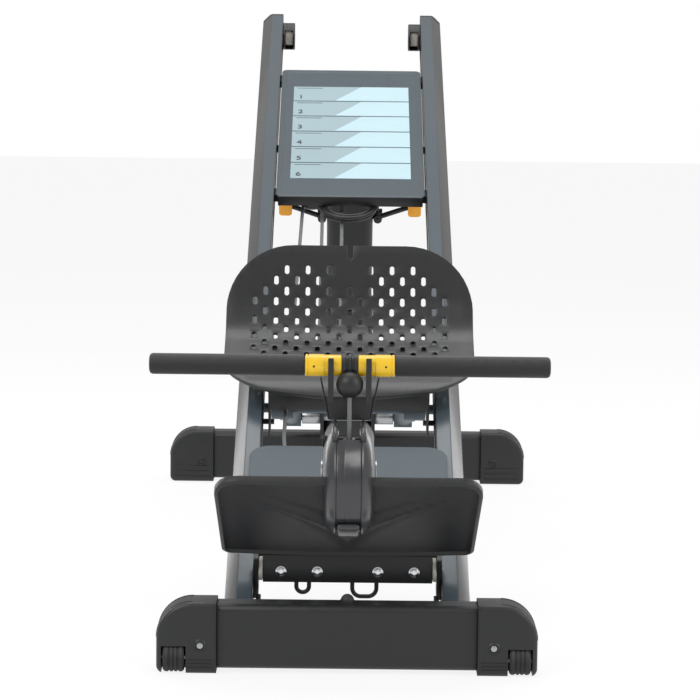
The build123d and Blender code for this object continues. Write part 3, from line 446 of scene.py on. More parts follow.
def rounded_plate(edit, width, height, corner_radii, thickness, segments=10):
    """A flat plate in X and Y with its own radius at each corner, anticlockwise from low X low Y."""
    corners = [
        edit.verts.new((x * width / 2, y * height / 2, 0))
        for x, y in ((-1, -1), (1, -1), (1, 1), (-1, 1))
    ]
    edit.faces.new(corners)
    for corner, radius in zip(corners, corner_radii):
        if radius:
            reach = radius * 2 ** 0.5
            bmesh.ops.bevel(
                edit, geom=[corner], offset=reach, affect="VERTICES", segments=segments, profile=0.5,
                material=-1,
            )
    grown = bmesh.ops.extrude_face_region(edit, geom=edit.faces[:])["geom"]
    raised = [item for item in grown if isinstance(item, bmesh.types.BMVert)]
    bmesh.ops.translate(edit, vec=(0, 0, thickness), verts=raised)
    bmesh.ops.recalc_face_normals(edit, faces=edit.faces[:])


def object_from(edit, name):
    """A bmesh as a plain object, for a cutter or a body to be cut."""
    mesh = bpy.data.meshes.new(name)
    edit.to_mesh(mesh)
    edit.free()
    thing = bpy.data.objects.new(name, mesh)
    bpy.context.scene.collection.objects.link(thing)
    return thing


def cut_by(body, cutter):
    """The body's mesh less the cutter, as a bmesh; both objects are used up."""
    cut = body.modifiers.new("cut", "BOOLEAN")
    cut.operation = "DIFFERENCE"
    cut.solver = "EXACT"
    cut.object = cutter
    scene_now = bpy.context.evaluated_depsgraph_get()
    result = bmesh.new()
    result.from_mesh(bpy.data.meshes.new_from_object(body.evaluated_get(scene_now)))
    for used in (body, cutter):
        bpy.data.objects.remove(used)
    return result


# ---- seat -------------------------------------------------------------------------------------------
def seat_path():
    """The seat's side view as a function of the distance from its front lip, on the rails' axes."""
    low, high = box_on_rail("seat_shell")
    bend = 0.120
    pan = 0.172
    turn = radians(78) - SLOPE
    sheet_middle = low.z + 0.0035

    def place(distance):
        """(up the slope, above the rails, turn) at a distance along the seat."""
        if distance <= pan:
            return low.y + distance, sheet_middle, 0.0
        angle = min((distance - pan) / bend, turn)
        up = low.y + pan + bend * sin(angle)
        over = sheet_middle + bend - bend * cos(angle)
        rest = distance - pan - bend * turn
        if rest > 0:
            up += rest * cos(turn)
            over += rest * sin(turn)
        return up, over, angle

    return place, high.x - low.x, pan, bend * turn


def seat_slots(edit, sizes, top, width, thickness):
    """Adds the cutters for the staggered rows of vent slots."""
    first_row = 0.046
    row_pitch = 0.020
    for row in range(sizes.slot_rows):
        across = sizes.slot_pitch
        shifted = row % 2
        count = 9 + shifted if row > 1 else 7 - shifted
        if row > 1:
            columns = [index - (count - 1) / 2 for index in range(count)]
        else:
            columns = [c for c in (-3.5, -3, -2.5, -2, -1.5, -1, 1, 1.5, 2, 2.5, 3, 3.5)
                       if (c % 1 == 0.5) == bool(shifted)]
        for column in columns:
            x = column * across
            if abs(x) > width / 2 - 0.02:
                continue
            made = bmesh.ops.create_circle(
                edit, cap_ends=True, segments=16, radius=sizes.slot_width / 2)["verts"]
            stretch = (sizes.slot_height - sizes.slot_width) / 2
            for vertex in made:
                vertex.co.y += stretch if vertex.co.y > 0 else -stretch
            face = made[0].link_faces[0]
            grown = bmesh.ops.extrude_face_region(edit, geom=[face])["geom"]
            deep = [item for item in grown if isinstance(item, bmesh.types.BMVert)]
            bmesh.ops.translate(edit, vec=(0, 0, thickness * 4), verts=deep)
            bmesh.ops.translate(
                edit, vec=(x, top - first_row - row * row_pitch, -thickness * 2), verts=made + deep)
    bmesh.ops.recalc_face_normals(edit, faces=edit.faces[:])


def build_seat(sizes):
    """The moulded seat: a flat plate with rounded corners, slotted, then bent to its side view."""
    place, width, pan, arc = seat_path()
    back = 0.092
    length = pan + arc + back
    thickness = 0.006
    plate = bmesh.new()
    rounded_plate(plate, width, length, (0.06, 0.06, 0.088, 0.088), thickness, segments=12)
    bmesh.ops.translate(plate, vec=(0, length / 2, -thickness / 2), verts=plate.verts[:])
    cutters = bmesh.new()
    seat_slots(cutters, sizes, length, width, thickness)
    bar(cutters, (0.011, 0.038, 0.05), Matrix.Translation((0, length - 0.006, 0)), 0.005, 4)
    edit = cut_by(object_from(plate, "seat_blank"), object_from(cutters, "seat_cutters"))
    bmesh.ops.remove_doubles(edit, verts=edit.verts[:], dist=1e-6)
    soften(edit, 0.0013, 2)
    step = 0.009
    for index in range(1, int(length / step)):
        bmesh.ops.bisect_plane(
            edit, geom=edit.verts[:] + edit.edges[:] + edit.faces[:], dist=1e-6,
            plane_co=(0, index * step, 0), plane_no=(0, 1, 0))
    for index in range(-10, 11):
        bmesh.ops.bisect_plane(
            edit, geom=edit.verts[:] + edit.edges[:] + edit.faces[:], dist=1e-6,
            plane_co=(index * 0.0205, 0, 0), plane_no=(1, 0, 0))
    lip = 0.036
    lip_reach = 0.15
    dish = 0.012
    for vertex in edit.verts:
        x, distance, over = vertex.co
        side = abs(x) / (width / 2)
        if distance < lip_reach:
            distance += lip * side ** 2 * (1 - distance / lip_reach)
        up, height, angle = place(distance)
        over += dish * side ** 2.5 * min(1.0, max(0.0, (distance - 0.05) / 0.2))
        droop = 0.010 * max(0.0, 1 - distance / 0.04) ** 2
        up -= over * sin(angle)
        height += over * cos(angle) - droop
        vertex.co = RAIL @ Vector((x, up, height))
    bmesh.ops.triangulate(edit, faces=[face for face in edit.faces if len(face.verts) > 4])
    return finish_mesh(edit, "seat", "seat_black", "seat", replaces=("seat_shell",))


# ---- handle -----------------------------------------------------------------------------------------
def build_handle():
    """Foam grips, stepped yellow sleeves, the black hub with its rings and screws, and the ball."""
    centre = middle_of("handle_bar")
    low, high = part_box("handle_grips")
    half = high.x
    grip_r = (high.z - low.z) / 2
    hub_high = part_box("handle_hub")[1]
    sleeve_low, sleeve_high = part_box("handle_sleeves")
    hub = hub_high.x
    sleeve = sleeve_high.x
    sleeve_r = (sleeve_high.z - sleeve_low.z) / 2
    place = Matrix.Translation((0, centre.y, centre.z))
    grips = bmesh.new()
    for side in (-1, 1):
        outline = [(sleeve + 0.0005, 0.0125), (sleeve + 0.0008, grip_r - 0.003), (sleeve + 0.003, grip_r),
                   (half - 0.006, grip_r), (half - 0.002, grip_r - 0.0018), (half - 0.0004, grip_r - 0.006),
                   (half, grip_r - 0.011), (half, 0.0)]
        lathe(grips, [(side * x, r) for x, r in outline], place, 56)
    foam = finish_mesh(grips, "foam_grips", "foam", "handle", replaces=("handle_grips",))
    sleeves = bmesh.new()
    for side in (-1, 1):
        outline = [(hub + 0.0002, 0.0125), (hub + 0.0002, sleeve_r - 0.0016),
                   (hub + 0.0014, sleeve_r - 0.0004),
                   (0.041, sleeve_r - 0.0004), (0.0418, sleeve_r + 0.0004), (0.066, sleeve_r + 0.0004),
                   (0.0665, sleeve_r - 0.0006), (0.068, sleeve_r - 0.0006), (0.0685, sleeve_r + 0.0004),
                   (sleeve - 0.0012, sleeve_r + 0.0004), (sleeve, sleeve_r - 0.001), (sleeve, 0.0125)]
        lathe(sleeves, [(side * x, r) for x, r in outline], place, 64)
    finish_mesh(sleeves, "yellow_sleeves", "yellow", "handle", replaces=("handle_sleeves",))
    middle = bmesh.new()
    ring = 0.0016
    outline = [(-hub, 0.0125), (-hub, sleeve_r), (-hub + 0.002, sleeve_r + ring),
               (-0.007, sleeve_r + ring), (-0.006, sleeve_r - 0.001), (-0.003, sleeve_r - 0.001),
               (-0.002, sleeve_r + ring), (0.002, sleeve_r + ring), (0.003, sleeve_r - 0.001),
               (0.006, sleeve_r - 0.001), (0.007, sleeve_r + ring), (hub - 0.002, sleeve_r + ring),
               (hub, sleeve_r), (hub, 0.0125)]
    lathe(middle, outline, place, 64)
    finish_mesh(middle, "handle_hub_rings", "moulded_black", "handle", replaces=("handle_hub",))
    screws = bmesh.new()
    facing = Matrix.Rotation(pi / 2, 4, "Z")
    for x in (-0.058, 0.058):
        spot = Matrix.Translation((x, centre.y - sleeve_r + 0.0006, centre.z)) @ facing
        lathe(screws, [(-0.001, 0.0), (-0.001, 0.0018), (-0.0006, 0.0026), (0.0012, 0.003), (0.0012, 0.0)],
              spot, 20)
    finish_mesh(screws, "sleeve_screws", "moulded_black", "handle")
    ball_low, ball_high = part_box("rope_ball")
    radius = (ball_high.x - ball_low.x) / 2
    ball_place = Matrix.Translation((0, ball_low.y + radius, ball_low.z + radius))
    ball = bmesh.new()
    bmesh.ops.create_uvsphere(ball, u_segments=48, v_segments=32, radius=radius, matrix=ball_place)
    for vertex in ball.verts:
        vertex.tag = True
    under = Matrix.Translation((0, ball_low.y + radius, ball_low.z + 0.0035))
    collar = under @ Matrix.Rotation(pi / 2, 4, "Y")
    lathe(ball, [(-0.004, 0.0), (-0.004, 0.008), (-0.002, 0.0095), (0.004, 0.007), (0.006, 0.0)], collar, 32)
    finish_mesh(ball, "rope_stop_ball", "moulded_black", "handle", replaces=("rope_ball",))
    finished("handle_bar", "steel", 0.0)


# ---- nose -------------------------------------------------------------------------------------------
def build_nose():
    """The pulley's housing: two bulged cheeks about a flush band, with lips, a tongue and an oval."""
    low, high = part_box("nose_housing")
    centre = (low + high) / 2
    half = high.x
    outer = (high.z - low.z) / 2
    place = Matrix.Translation((0, centre.y, centre.z))
    band = 0.0195
    cheek = [(band, outer - 0.030), (band, outer - 0.0045), (band + 0.0012, outer - 0.0022),
             (band + 0.004, outer - 0.001), (half - 0.012, outer - 0.006), (half - 0.0055, outer - 0.013),
             (half - 0.002, outer - 0.022), (half - 0.0008, outer - 0.030), (half - 0.003, outer - 0.036),
             (half - 0.0035, outer - 0.041), (half - 0.0005, outer - 0.047), (half + 0.0008, outer - 0.055),
             (half + 0.001, outer - 0.075), (half + 0.001, 0.0)]
    shell = bmesh.new()
    for side in (-1, 1):
        lathe(shell, [(side * x, r) for x, r in cheek], place, 112)
    cheeks = finish_mesh(shell, "nose_cheeks", "nose_black", "rails", replaces=("nose_housing",))
    wall = cheeks.modifiers.new("wall", "SOLIDIFY")
    wall.thickness = 0.003
    wall.offset = -1
    rim = bmesh.new()
    mouth_end = radians(38)
    mouth_start = radians(-50)
    section = [rim.verts.new((x, r, 0)) for x, r in (
        (-band, outer - 0.010), (-band, outer - 0.004), (-band + 0.002, outer - 0.0055),
        (-0.008, outer - 0.0055), (-0.0065, outer - 0.0062), (-0.005, outer - 0.0055),
        (band - 0.002, outer - 0.0055), (band, outer - 0.004), (band, outer - 0.010))]
    rim.faces.new(section)
    bmesh.ops.rotate(
        rim, cent=(0, 0, 0), matrix=Matrix.Rotation(pi / 2 + mouth_end, 3, "X"), verts=section)
    bmesh.ops.spin(
        rim, geom=rim.faces[:], cent=(0, 0, 0), axis=(1, 0, 0),
        angle=2 * pi + mouth_start - mouth_end, steps=96)
    bmesh.ops.remove_doubles(rim, verts=rim.verts[:], dist=1e-6)
    bmesh.ops.transform(rim, matrix=place, verts=rim.verts[:])
    finish_mesh(rim, "nose_band", "nose_black", "rails")
    trims = bmesh.new()
    for side in (-1, 1):
        lip = place @ Matrix.Rotation(radians(34), 4, "X") @ Matrix.Translation(
            (side * 0.0225, 0, outer - 0.001))
        bar(trims, (0.0125, 0.030, 0.020), lip, 0.006, 5)
    tongue = place @ Matrix.Rotation(radians(146), 4, "X") @ Matrix.Translation((0, 0.004, outer - 0.001))
    bar(trims, (0.036, 0.034, 0.010), tongue, 0.0045, 4)
    finish_mesh(trims, "nose_lips", "nose_black", "rails")
    recess = bmesh.new()
    oval = place @ Matrix.Translation((-half - 0.0004, -0.030, 0.064)) @ Matrix.Rotation(
        radians(28), 4, "X") @ Matrix.Scale(1.9, 4, (0, 0, 1))
    lathe(recess, [(-0.0014, 0.0), (-0.0016, 0.0048), (-0.0008, 0.0058), (0.004, 0.006)], oval, 32)
    finish_mesh(recess, "nose_cheek_oval", "rubber", "rails")


# ---- footplate --------------------------------------------------------------------------------------
def plate_frame():
    """The footplate's own axes: X across, Y up its face and Z out of its front face, and its size."""
    low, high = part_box("footplate")
    thickness = 0.010
    rise = high.z - low.z
    run = high.y - low.y
    lean = atan2(rise, run)
    for _ in range(12):
        length = (rise - thickness * cos(lean)) / sin(lean)
        lean = atan2(rise - thickness * cos(lean), run - thickness * sin(lean))
    origin = Vector((0, high.y - thickness * sin(lean), low.z))
    up = Vector((0, -cos(lean), sin(lean)))
    out = Vector((0, -sin(lean), -cos(lean)))
    place = Matrix((
        (1, 0, 0, origin.x), (0, up.y, out.y, origin.y), (0, up.z, out.z, origin.z), (0, 0, 0, 1)))
    return place, length, high.x, thickness


def build_footplate():
    """The footplate: a dished moulding with a rolled rim and a wing-shaped swelling on each side."""
    place, length, half, thickness = plate_frame()
    edit = bmesh.new()
    rounded_plate(edit, half * 2, length, (0.012, 0.012, 0.03, 0.03), thickness, segments=8)
    bmesh.ops.translate(edit, vec=(0, length / 2, -thickness), verts=edit.verts[:])
    front = max(edit.faces, key=lambda face: face.calc_center_median().z)
    bmesh.ops.inset_region(edit, faces=[front], thickness=0.006, depth=0.0035, use_even_offset=True)
    bmesh.ops.inset_region(edit, faces=[front], thickness=0.004, depth=-0.005, use_even_offset=True)
    for index in range(1, 44):
        bmesh.ops.bisect_plane(
            edit, geom=edit.verts[:] + edit.edges[:] + edit.faces[:], dist=1e-6,
            plane_co=((index - 22) * half / 22, 0, 0), plane_no=(1, 0, 0))
    for index in range(1, 26):
        bmesh.ops.bisect_plane(
            edit, geom=edit.verts[:] + edit.edges[:] + edit.faces[:], dist=1e-6,
            plane_co=(0, index * length / 26, 0), plane_no=(0, 1, 0))
    soften(edit, 0.0012, 2)
    taper = 0.05
    wing_tip = 0.176
    for vertex in edit.verts:
        x, y, z = vertex.co
        side = abs(x)
        share = y / length
        if z > -0.003 and side < wing_tip:
            along = side / wing_tip
            crest = length * (0.30 + 0.50 * along ** 0.8)
            reach = 0.052 * (1 - along) + 0.006
            offset = (y - crest) / reach
            height = 0.013 * (1 - along) ** 0.7
            if offset <= 0:
                z += height * max(0.0, 1 + offset) ** 1.5
            else:
                z += height * max(0.0, 1 - offset * 2.2) ** 0.8
        edge = max(0.0, 1 - min(length - y, half - side) / 0.03)
        z += 0.002 * edge ** 2
        x *= 1 - taper * (1 - share)
        bow = 0.008 * (side / half) ** 2 * (1 - share)
        vertex.co = place @ Vector((x, y + bow, z))
    finish_mesh(edit, "foot_plate", "moulded_black", "footplate", replaces=("footplate",))
    bolts = bmesh.new()
    bolt_low, bolt_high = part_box("foot_bracket_bolts")
    face = bolt_high.y
    radius = (bolt_high.z - bolt_low.z) / 2
    height = (bolt_high.z + bolt_low.z) / 2
    turn = Matrix.Rotation(pi / 2, 4, "Z")
    for x in (-bolt_high.x + radius, -0.05, 0.05, bolt_high.x - radius):
        spot = Matrix.Translation((x, face, height)) @ turn
        head = [(0.0, radius + 0.002), (-0.001, radius + 0.002), (-0.0016, radius),
                (-0.004, radius - 0.0006), (-0.0052, radius - 0.003), (-0.0052, 0.003), (-0.003, 0.0026),
                (-0.003, 0.0)]
        lathe(bolts, head, spot, 32)
    finish_mesh(bolts, "bracket_bolts", "chrome", "footplate", replaces=("foot_bracket_bolts",))
    finished("foot_bracket", "powder_coat")
    finished("pivot_discs", "nylon")
    finished("foot_cable", "cable", 0.0)


# ---- exercise board ---------------------------------------------------------------------------------
def board_bar(edit, centre, size, level, width=0.0):
    """A thin box on the board, placed by its middle across and up it."""
    spot = RAIL @ Matrix.Translation((centre[0], centre[1], level))
    bar(edit, size, spot, width, 2)


def build_board():
    """The exercise board: a slate panel with a rim, six pale bands, a lighter slant and numbers."""
    low, high = box_on_rail("placard")
    wide = high.x - low.x
    tall = high.y - low.y
    top = high.z
    middle = (low.y + high.y) / 2
    panel = bmesh.new()
    rounded_plate(panel, wide, tall, (0.008, 0.008, 0.008, 0.008), high.z - low.z - 0.001, segments=5)
    front = max(panel.faces, key=lambda face: face.calc_center_median().z)
    bmesh.ops.inset_region(panel, faces=[front], thickness=0.009, depth=0.0)
    bmesh.ops.inset_region(panel, faces=[front], thickness=0.002, depth=-0.0015)
    soften(panel, 0.0008, 2)
    bmesh.ops.transform(
        panel, matrix=RAIL @ Matrix.Translation((0, middle, low.z)), verts=panel.verts[:])
    finish_mesh(panel, "board_panel", "rail_strip", "rails", replaces=("placard",))
    face_level = top - 0.0022
    bands = bmesh.new()
    light = bmesh.new()
    rows = 6
    first = low.y + tall * 0.865
    pitch = tall * 0.122
    band_tall = pitch - 0.004
    left = -wide * 0.41
    right = wide * 0.41
    skin = 0.0007
    for row in range(rows):
        mid = first - (row + 0.5) * pitch
        board_bar(bands, (0, mid), (right - left, band_tall, skin), face_level)
        corners = [(-0.035, -0.5), (right, -0.5), (right, 0.5), (0.022, 0.5)]
        base = [light.verts.new((x, mid + share * band_tall * 0.995, face_level + skin / 2))
                for x, share in corners]
        light.faces.new(base)
    grown = bmesh.ops.extrude_face_region(light, geom=light.faces[:])["geom"]
    raised = [item for item in grown if isinstance(item, bmesh.types.BMVert)]
    bmesh.ops.translate(light, vec=(0, 0, 0.0003), verts=raised)
    bmesh.ops.transform(light, matrix=RAIL, verts=light.verts[:])
    finish_mesh(bands, "board_bands", "board_band", "rails")
    finish_mesh(light, "board_slants", "board_light", "rails")
    lines = bmesh.new()
    for row in range(rows):
        mid = first - (row + 0.13) * pitch
        board_bar(lines, (left + 0.035, mid), (0.055, 0.0016, skin), face_level + 0.0004)
    board_bar(lines, (wide * 0.27, low.y + tall * 0.93), (0.0008, tall * 0.11, skin), face_level + 0.0002)
    finish_mesh(lines, "board_lines", "rail_strip", "rails")
    ink = bmesh.new()
    for row in range(rows):
        text = bpy.data.curves.new("number", "FONT")
        text.body = str(row + 1)
        text.size = 0.024
        text.extrude = 0.0002
        holder = bpy.data.objects.new("number", text)
        bpy.context.scene.collection.objects.link(holder)
        bpy.context.view_layer.update()
        mesh = bpy.data.meshes.new_from_object(holder)
        spot = RAIL @ Matrix.Translation((left + 0.010, first - (row + 0.83) * pitch, face_level + skin))
        mesh.transform(spot)
        ink.from_mesh(mesh)
        bpy.data.objects.remove(holder)
        bpy.data.curves.remove(text)
    bmesh.ops.remove_doubles(ink, verts=ink.verts[:], dist=1e-7)
    finish_mesh(ink, "board_numbers", "board_ink", "rails")
    finished("placard_frame", "moulded_black")


# ---- beams, caps and wheels -------------------------------------------------------------------------
def cap_outline(edit, node, inner, radius, foot_round):
    """Adds the cap's solid: its side view across the machine, extruded front to back and rounded."""
    low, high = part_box(node)
    tall = high.z
    outline = [edit.verts.new((x, low.y, z)) for x, z in (
        (inner, low.z), (high.x, low.z), (high.x, tall), (inner, tall))]
    edit.faces.new(outline)
    for corner, reach in ((outline[2], radius), (outline[1], foot_round)):
        bmesh.ops.bevel(
            edit, geom=[corner], offset=reach, affect="VERTICES", segments=18, profile=0.5, material=-1)
    grown = bmesh.ops.extrude_face_region(edit, geom=edit.faces[:])["geom"]
    back = [item for item in grown if isinstance(item, bmesh.types.BMVert)]
    bmesh.ops.translate(edit, vec=(0, high.y - low.y, 0), verts=back)
    bmesh.ops.recalc_face_normals(edit, faces=edit.faces[:])
    rims = [edge for edge in edit.edges if edge.calc_face_angle(0) > SHARP
            and not all(abs(vertex.co.x - inner) < 1e-6 for vertex in edge.verts)]
    bmesh.ops.bevel(
        edit, geom=rims, offset=0.009, affect="EDGES", segments=5, profile=0.5, material=-1,
        clamp_overlap=True)


CAP_WIDTH = 0.097
CAP_CORNER = 0.058
CAP_FOOT_ROUND = 0.012
BEAM_HOLE = (0.066, 0.0605, 0.1055)
BEAM_HOLE_MIDDLE_Z = 0.0595


def cap_half(node, front):
    """The right-hand cap's solid, with the hole for its beam and, at the front, the wheel's well."""
    low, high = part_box(node)
    middle_y = (high.y + low.y) / 2
    inner = high.x - CAP_WIDTH
    blank = bmesh.new()
    cap_outline(blank, node, inner, CAP_CORNER, CAP_FOOT_ROUND)
    cutter = bmesh.new()
    bar(cutter, BEAM_HOLE, Matrix.Translation((inner, middle_y, BEAM_HOLE_MIDDLE_Z)), 0.0)
    if not front:
        return cut_by(object_from(blank, "cap_blank"), object_from(cutter, "cap_cutter"))
    wheel_low, wheel_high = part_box("transport_wheel_right")
    gap = 0.003
    middle = (wheel_low + wheel_high) / 2
    radius = (wheel_high.z - wheel_low.z) / 2 + gap
    wide = wheel_high.x - wheel_low.x + 2 * gap
    bmesh.ops.create_cone(
        cutter, cap_ends=True, segments=48, radius1=radius, radius2=radius, depth=wide,
        matrix=Matrix.Translation(middle) @ Matrix.Rotation(pi / 2, 4, "Y"))
    rounded = cut_by(object_from(blank, "cap_blank"), object_from(cutter, "cap_cutter"))
    past_face = 0.03
    past_foot = 0.02
    front_cut = bmesh.new()
    bar(front_cut, (wide, radius + past_face, radius * 2), Matrix.Translation(
        (middle.x, middle.y - (radius + past_face) / 2, middle.z)), 0.0)
    bar(front_cut, (wide - 0.0002, radius * 2, middle.z + past_foot), Matrix.Translation(
        (middle.x, middle.y, (middle.z + past_foot) / 2 - past_foot)), 0.0)
    return cut_by(object_from(rounded, "cap_blank"), object_from(front_cut, "cap_cutter"))


def cap_ridge(strip, side, corner_x, corner_z, edge):
    """One thin ridge round the cap's upper corner, at a place front to back."""
    ridge = [strip.verts.new((CAP_CORNER - drop, offset, 0)) for drop, offset in (
        (0.002, -0.0016), (-0.0008, -0.0012), (-0.0008, 0.0012), (0.002, 0.0016))]
    strip.faces.new(ridge)
    bmesh.ops.spin(
        strip, geom=[ridge[0].link_faces[0]], cent=(0, 0, 0), axis=(0, 1, 0), angle=-pi / 2, steps=24)
    made = {vertex for vertex in strip.verts if not vertex.tag and abs(vertex.co.y) < 0.003
            and abs(vertex.co.x) < 0.07 and abs(vertex.co.z) < 0.07}
    bmesh.ops.transform(
        strip, verts=list(made), matrix=Matrix.Translation((side * corner_x, edge, corner_z))
        @ Matrix.Scale(side, 4, (1, 0, 0)))
    for vertex in made:
        vertex.tag = True


def cap_trims(node, front):
    """The knurled strip round each cap's corner, its two ridges, the ledges and the inner lip."""
    low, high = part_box(node)
    tall = high.z
    depth = high.y - low.y
    mid = (high.y + low.y) / 2
    inner = high.x - CAP_WIDTH
    corner_x = high.x - CAP_CORNER
    corner_z = tall - CAP_CORNER
    knurl_r = CAP_CORNER - 0.0006
    strip = bmesh.new()
    for side in (-1, 1):
        for index in range(25):
            angle = radians(4 + index * 3.4)
            x = corner_x + knurl_r * cos(angle)
            z = corner_z + knurl_r * sin(angle)
            spot = Matrix.Translation((side * x, mid, z)) @ Matrix.Rotation(-side * angle, 4, "Y")
            bar(strip, (0.0018, depth - 0.030, 0.0016), spot, 0.0)
        for edge in (low.y + 0.0115, high.y - 0.0115):
            cap_ridge(strip, side, corner_x, corner_z, edge)
        start = inner + (0.006 if front else 0.008)
        end = high.x - (0.050 if front else 0.012)
        for z in ((0.010, 0.016, 0.022) if front else (0.012, 0.024, 0.036)):
            spot = Matrix.Translation((side * (start + end) / 2, low.y - 0.0002, z))
            bar(strip, (end - start, 0.003, 0.0022), spot, 0.0008, 2)
        lip = Matrix.Translation((side * (inner + 0.0012), mid, tall / 2))
        bar(strip, (0.0024, depth + 0.0016, tall - 0.004), lip, 0.0008, 2)
    return strip


def build_caps(node, body, front):
    """A pair of moulded end caps with their trims."""
    whole = bmesh.new()
    for side in (1, -1):
        half = cap_half(node, front)
        bmesh.ops.remove_doubles(half, verts=half.verts[:], dist=1e-6)
        if side < 0:
            bmesh.ops.scale(half, vec=(-1, 1, 1), verts=half.verts[:])
            bmesh.ops.reverse_faces(half, faces=half.faces[:])
        mesh = bpy.data.meshes.new("cap_half")
        half.to_mesh(mesh)
        half.free()
        whole.from_mesh(mesh)
        bpy.data.meshes.remove(mesh)
    finish_mesh(whole, node + "_moulded", "moulded_black", body, replaces=(node,),
                turn_out=False)
    finish_mesh(cap_trims(node, front), node + "_strips", "moulded_black", body)


def build_base():
    """The two floor beams, their moulded end caps, screws, bumper and transport wheels."""
    for body, beam, caps, front in (
        ("front_base", "front_beam", "front_caps", True), ("stand", "rear_beam", "rear_caps", False)):
        finished(beam, "powder_coat", 0.0008)
        build_caps(caps, body, front)
    finished("front_cap_hardware", "steel", 0.0003)
    finished("rear_cap_screws", "powder_coat", 0.0003)
    turn = Matrix.Rotation(pi / 2, 4, "Z")
    screw_inward = 0.0708
    for end, body in (("front", "front_base"), ("rear", "stand")):
        low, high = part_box(end + "_caps")
        rings = bmesh.new()
        for side in (-1, 1):
            spot = Matrix.Translation((side * (high.x - screw_inward), low.y, high.z * 0.4)) @ turn
            lathe(rings, [(-0.0004, 0.0062), (-0.0016, 0.0066), (-0.002, 0.0085), (-0.0004, 0.0105)],
                  spot, 32)
        finish_mesh(rings, end + "_screw_rings", "moulded_black", body)
    for side, name in ((-1, "left"), (1, "right")):
        node = "transport_wheel_" + name
        low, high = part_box(node)
        centre = (low + high) / 2
        half = (high.x - low.x) / 2
        radius = (high.z - low.z) / 2
        outline = [(-half, 0.0045), (-half, 0.009), (-half + 0.003, 0.0105), (-half + 0.003, radius - 0.008),
                   (-half, radius - 0.006), (-half, radius - 0.003), (-half + 0.003, radius)]
        for groove in (-0.007, 0.0, 0.007):
            outline += [(groove - 0.0018, radius), (groove - 0.0008, radius - 0.0016),
                        (groove + 0.0008, radius - 0.0016), (groove + 0.0018, radius)]
        outline += [(-x, r) for x, r in reversed(outline[:7])]
        wheel = bmesh.new()
        lathe(wheel, outline, Matrix.Translation(centre), 56)
        finish_mesh(wheel, "wheel_tyre_" + name, "rubber", "wheel_" + name, replaces=(node,))
    finished("beam_bumper", "rubber", 0.0)
    finished("front_lugs", "powder_coat")


# ---- rails, column, arms and what rides on them ------------------------------------------------------
def build_frame():
    """The rails with their slate top strips, the column, the support arms and the brackets."""
    strip_normal = SQUARE

    def rail_paint(place, normal):
        """The flat top strip is slate, and everything else is black."""
        return 1 if normal.dot(strip_normal) > 0.97 else 0

    for side in ("left", "right"):
        finished("rail_" + side, ("rail_paint", "rail_strip"), 0.0014, paint=rail_paint)
    finished("rail_end_caps", "moulded_black", 0.003, segments=3)
    finished("rail_pivot_blocks", "powder_coat")
    finished("low_cross_member", "powder_coat")
    finished("column", "powder_coat", 0.0008)
    finished("column_cheeks", "powder_coat")
    finished("arm_pivot_shaft", "steel", 0.0015)
    finished("pivot_sleeves", "steel", 0.001)
    finished("post", "powder_coat", 0.0006)
    finished("head_yoke", "powder_coat")
    finished("lever_brackets", "powder_coat")
    for side in ("left", "right"):
        finished("release_lever_" + side, "powder_coat", 0.0008)
        finished("lever_grip_" + side, "orange_yellow", 0.004, segments=3)
    finished("support_arms", "slate_plastic", 0.0012)
    finished("arm_rollers", "nylon", 0.0015)
    finished("mast_plates", "steel", 0.0004)
    finished("nose_axle", "steel", 0.0008)
    finished("nose_pulley", "nylon", 0.0008)
    finished("cradle_blades", "powder_coat", 0.0005)
    finished("cradle_body", "moulded_black", 0.0022, segments=3)
    finished("foot_pivot_ears", "powder_coat")
    finished("top_pulley_housings", "moulded_black", 0.0035, segments=3)
    finished("top_pulleys", "nylon", 0.001)
    finished("head_sheave", "nylon", 0.0008)
    finished("carriage_sheave", "nylon", 0.0008)
    finished("seat_carriage", "powder_coat", 0.0008)
    finished("seat_rollers_low", "nylon", 0.0012)
    finished("seat_rollers_high", "nylon", 0.0012)


def build_cover():
    """The slate cover pad between the rails: a crowned, close-filled pad with a rolled edge."""
    low, high = box_on_rail("cover_pad")
    edit = bmesh.new()
    wide = high.x - low.x
    deep = high.y - low.y
    thick = high.z - low.z
    rounded_plate(edit, wide, deep, (0.026,) * 4, thick - 0.001, segments=10)
    front = max(edit.faces, key=lambda face: face.calc_center_median().z)
    bmesh.ops.inset_region(edit, faces=[front], thickness=0.004, depth=0.0)
    for index in range(1, 24):
        bmesh.ops.bisect_plane(
            edit, geom=edit.verts[:] + edit.edges[:] + edit.faces[:], dist=1e-6,
            plane_co=((index - 12) * wide / 24, 0, 0), plane_no=(1, 0, 0))
    for index in range(1, 14):
        bmesh.ops.bisect_plane(
            edit, geom=edit.verts[:] + edit.edges[:] + edit.faces[:], dist=1e-6,
            plane_co=(0, (index - 7) * deep / 14, 0), plane_no=(0, 1, 0))
    soften(edit, 0.003, 3)
    crown = 0.0025
    for vertex in edit.verts:
        x, y, z = vertex.co
        if z > thick / 2:
            z += crown * (1 - (2 * x / wide) ** 4) * (1 - (2 * y / deep) ** 4)
        vertex.co = RAIL @ Vector((x, y + (low.y + high.y) / 2, z + low.z))
    pad = finish_mesh(edit, "cover_pad_skin", "slate_plastic", "rails", replaces=("cover_pad",))


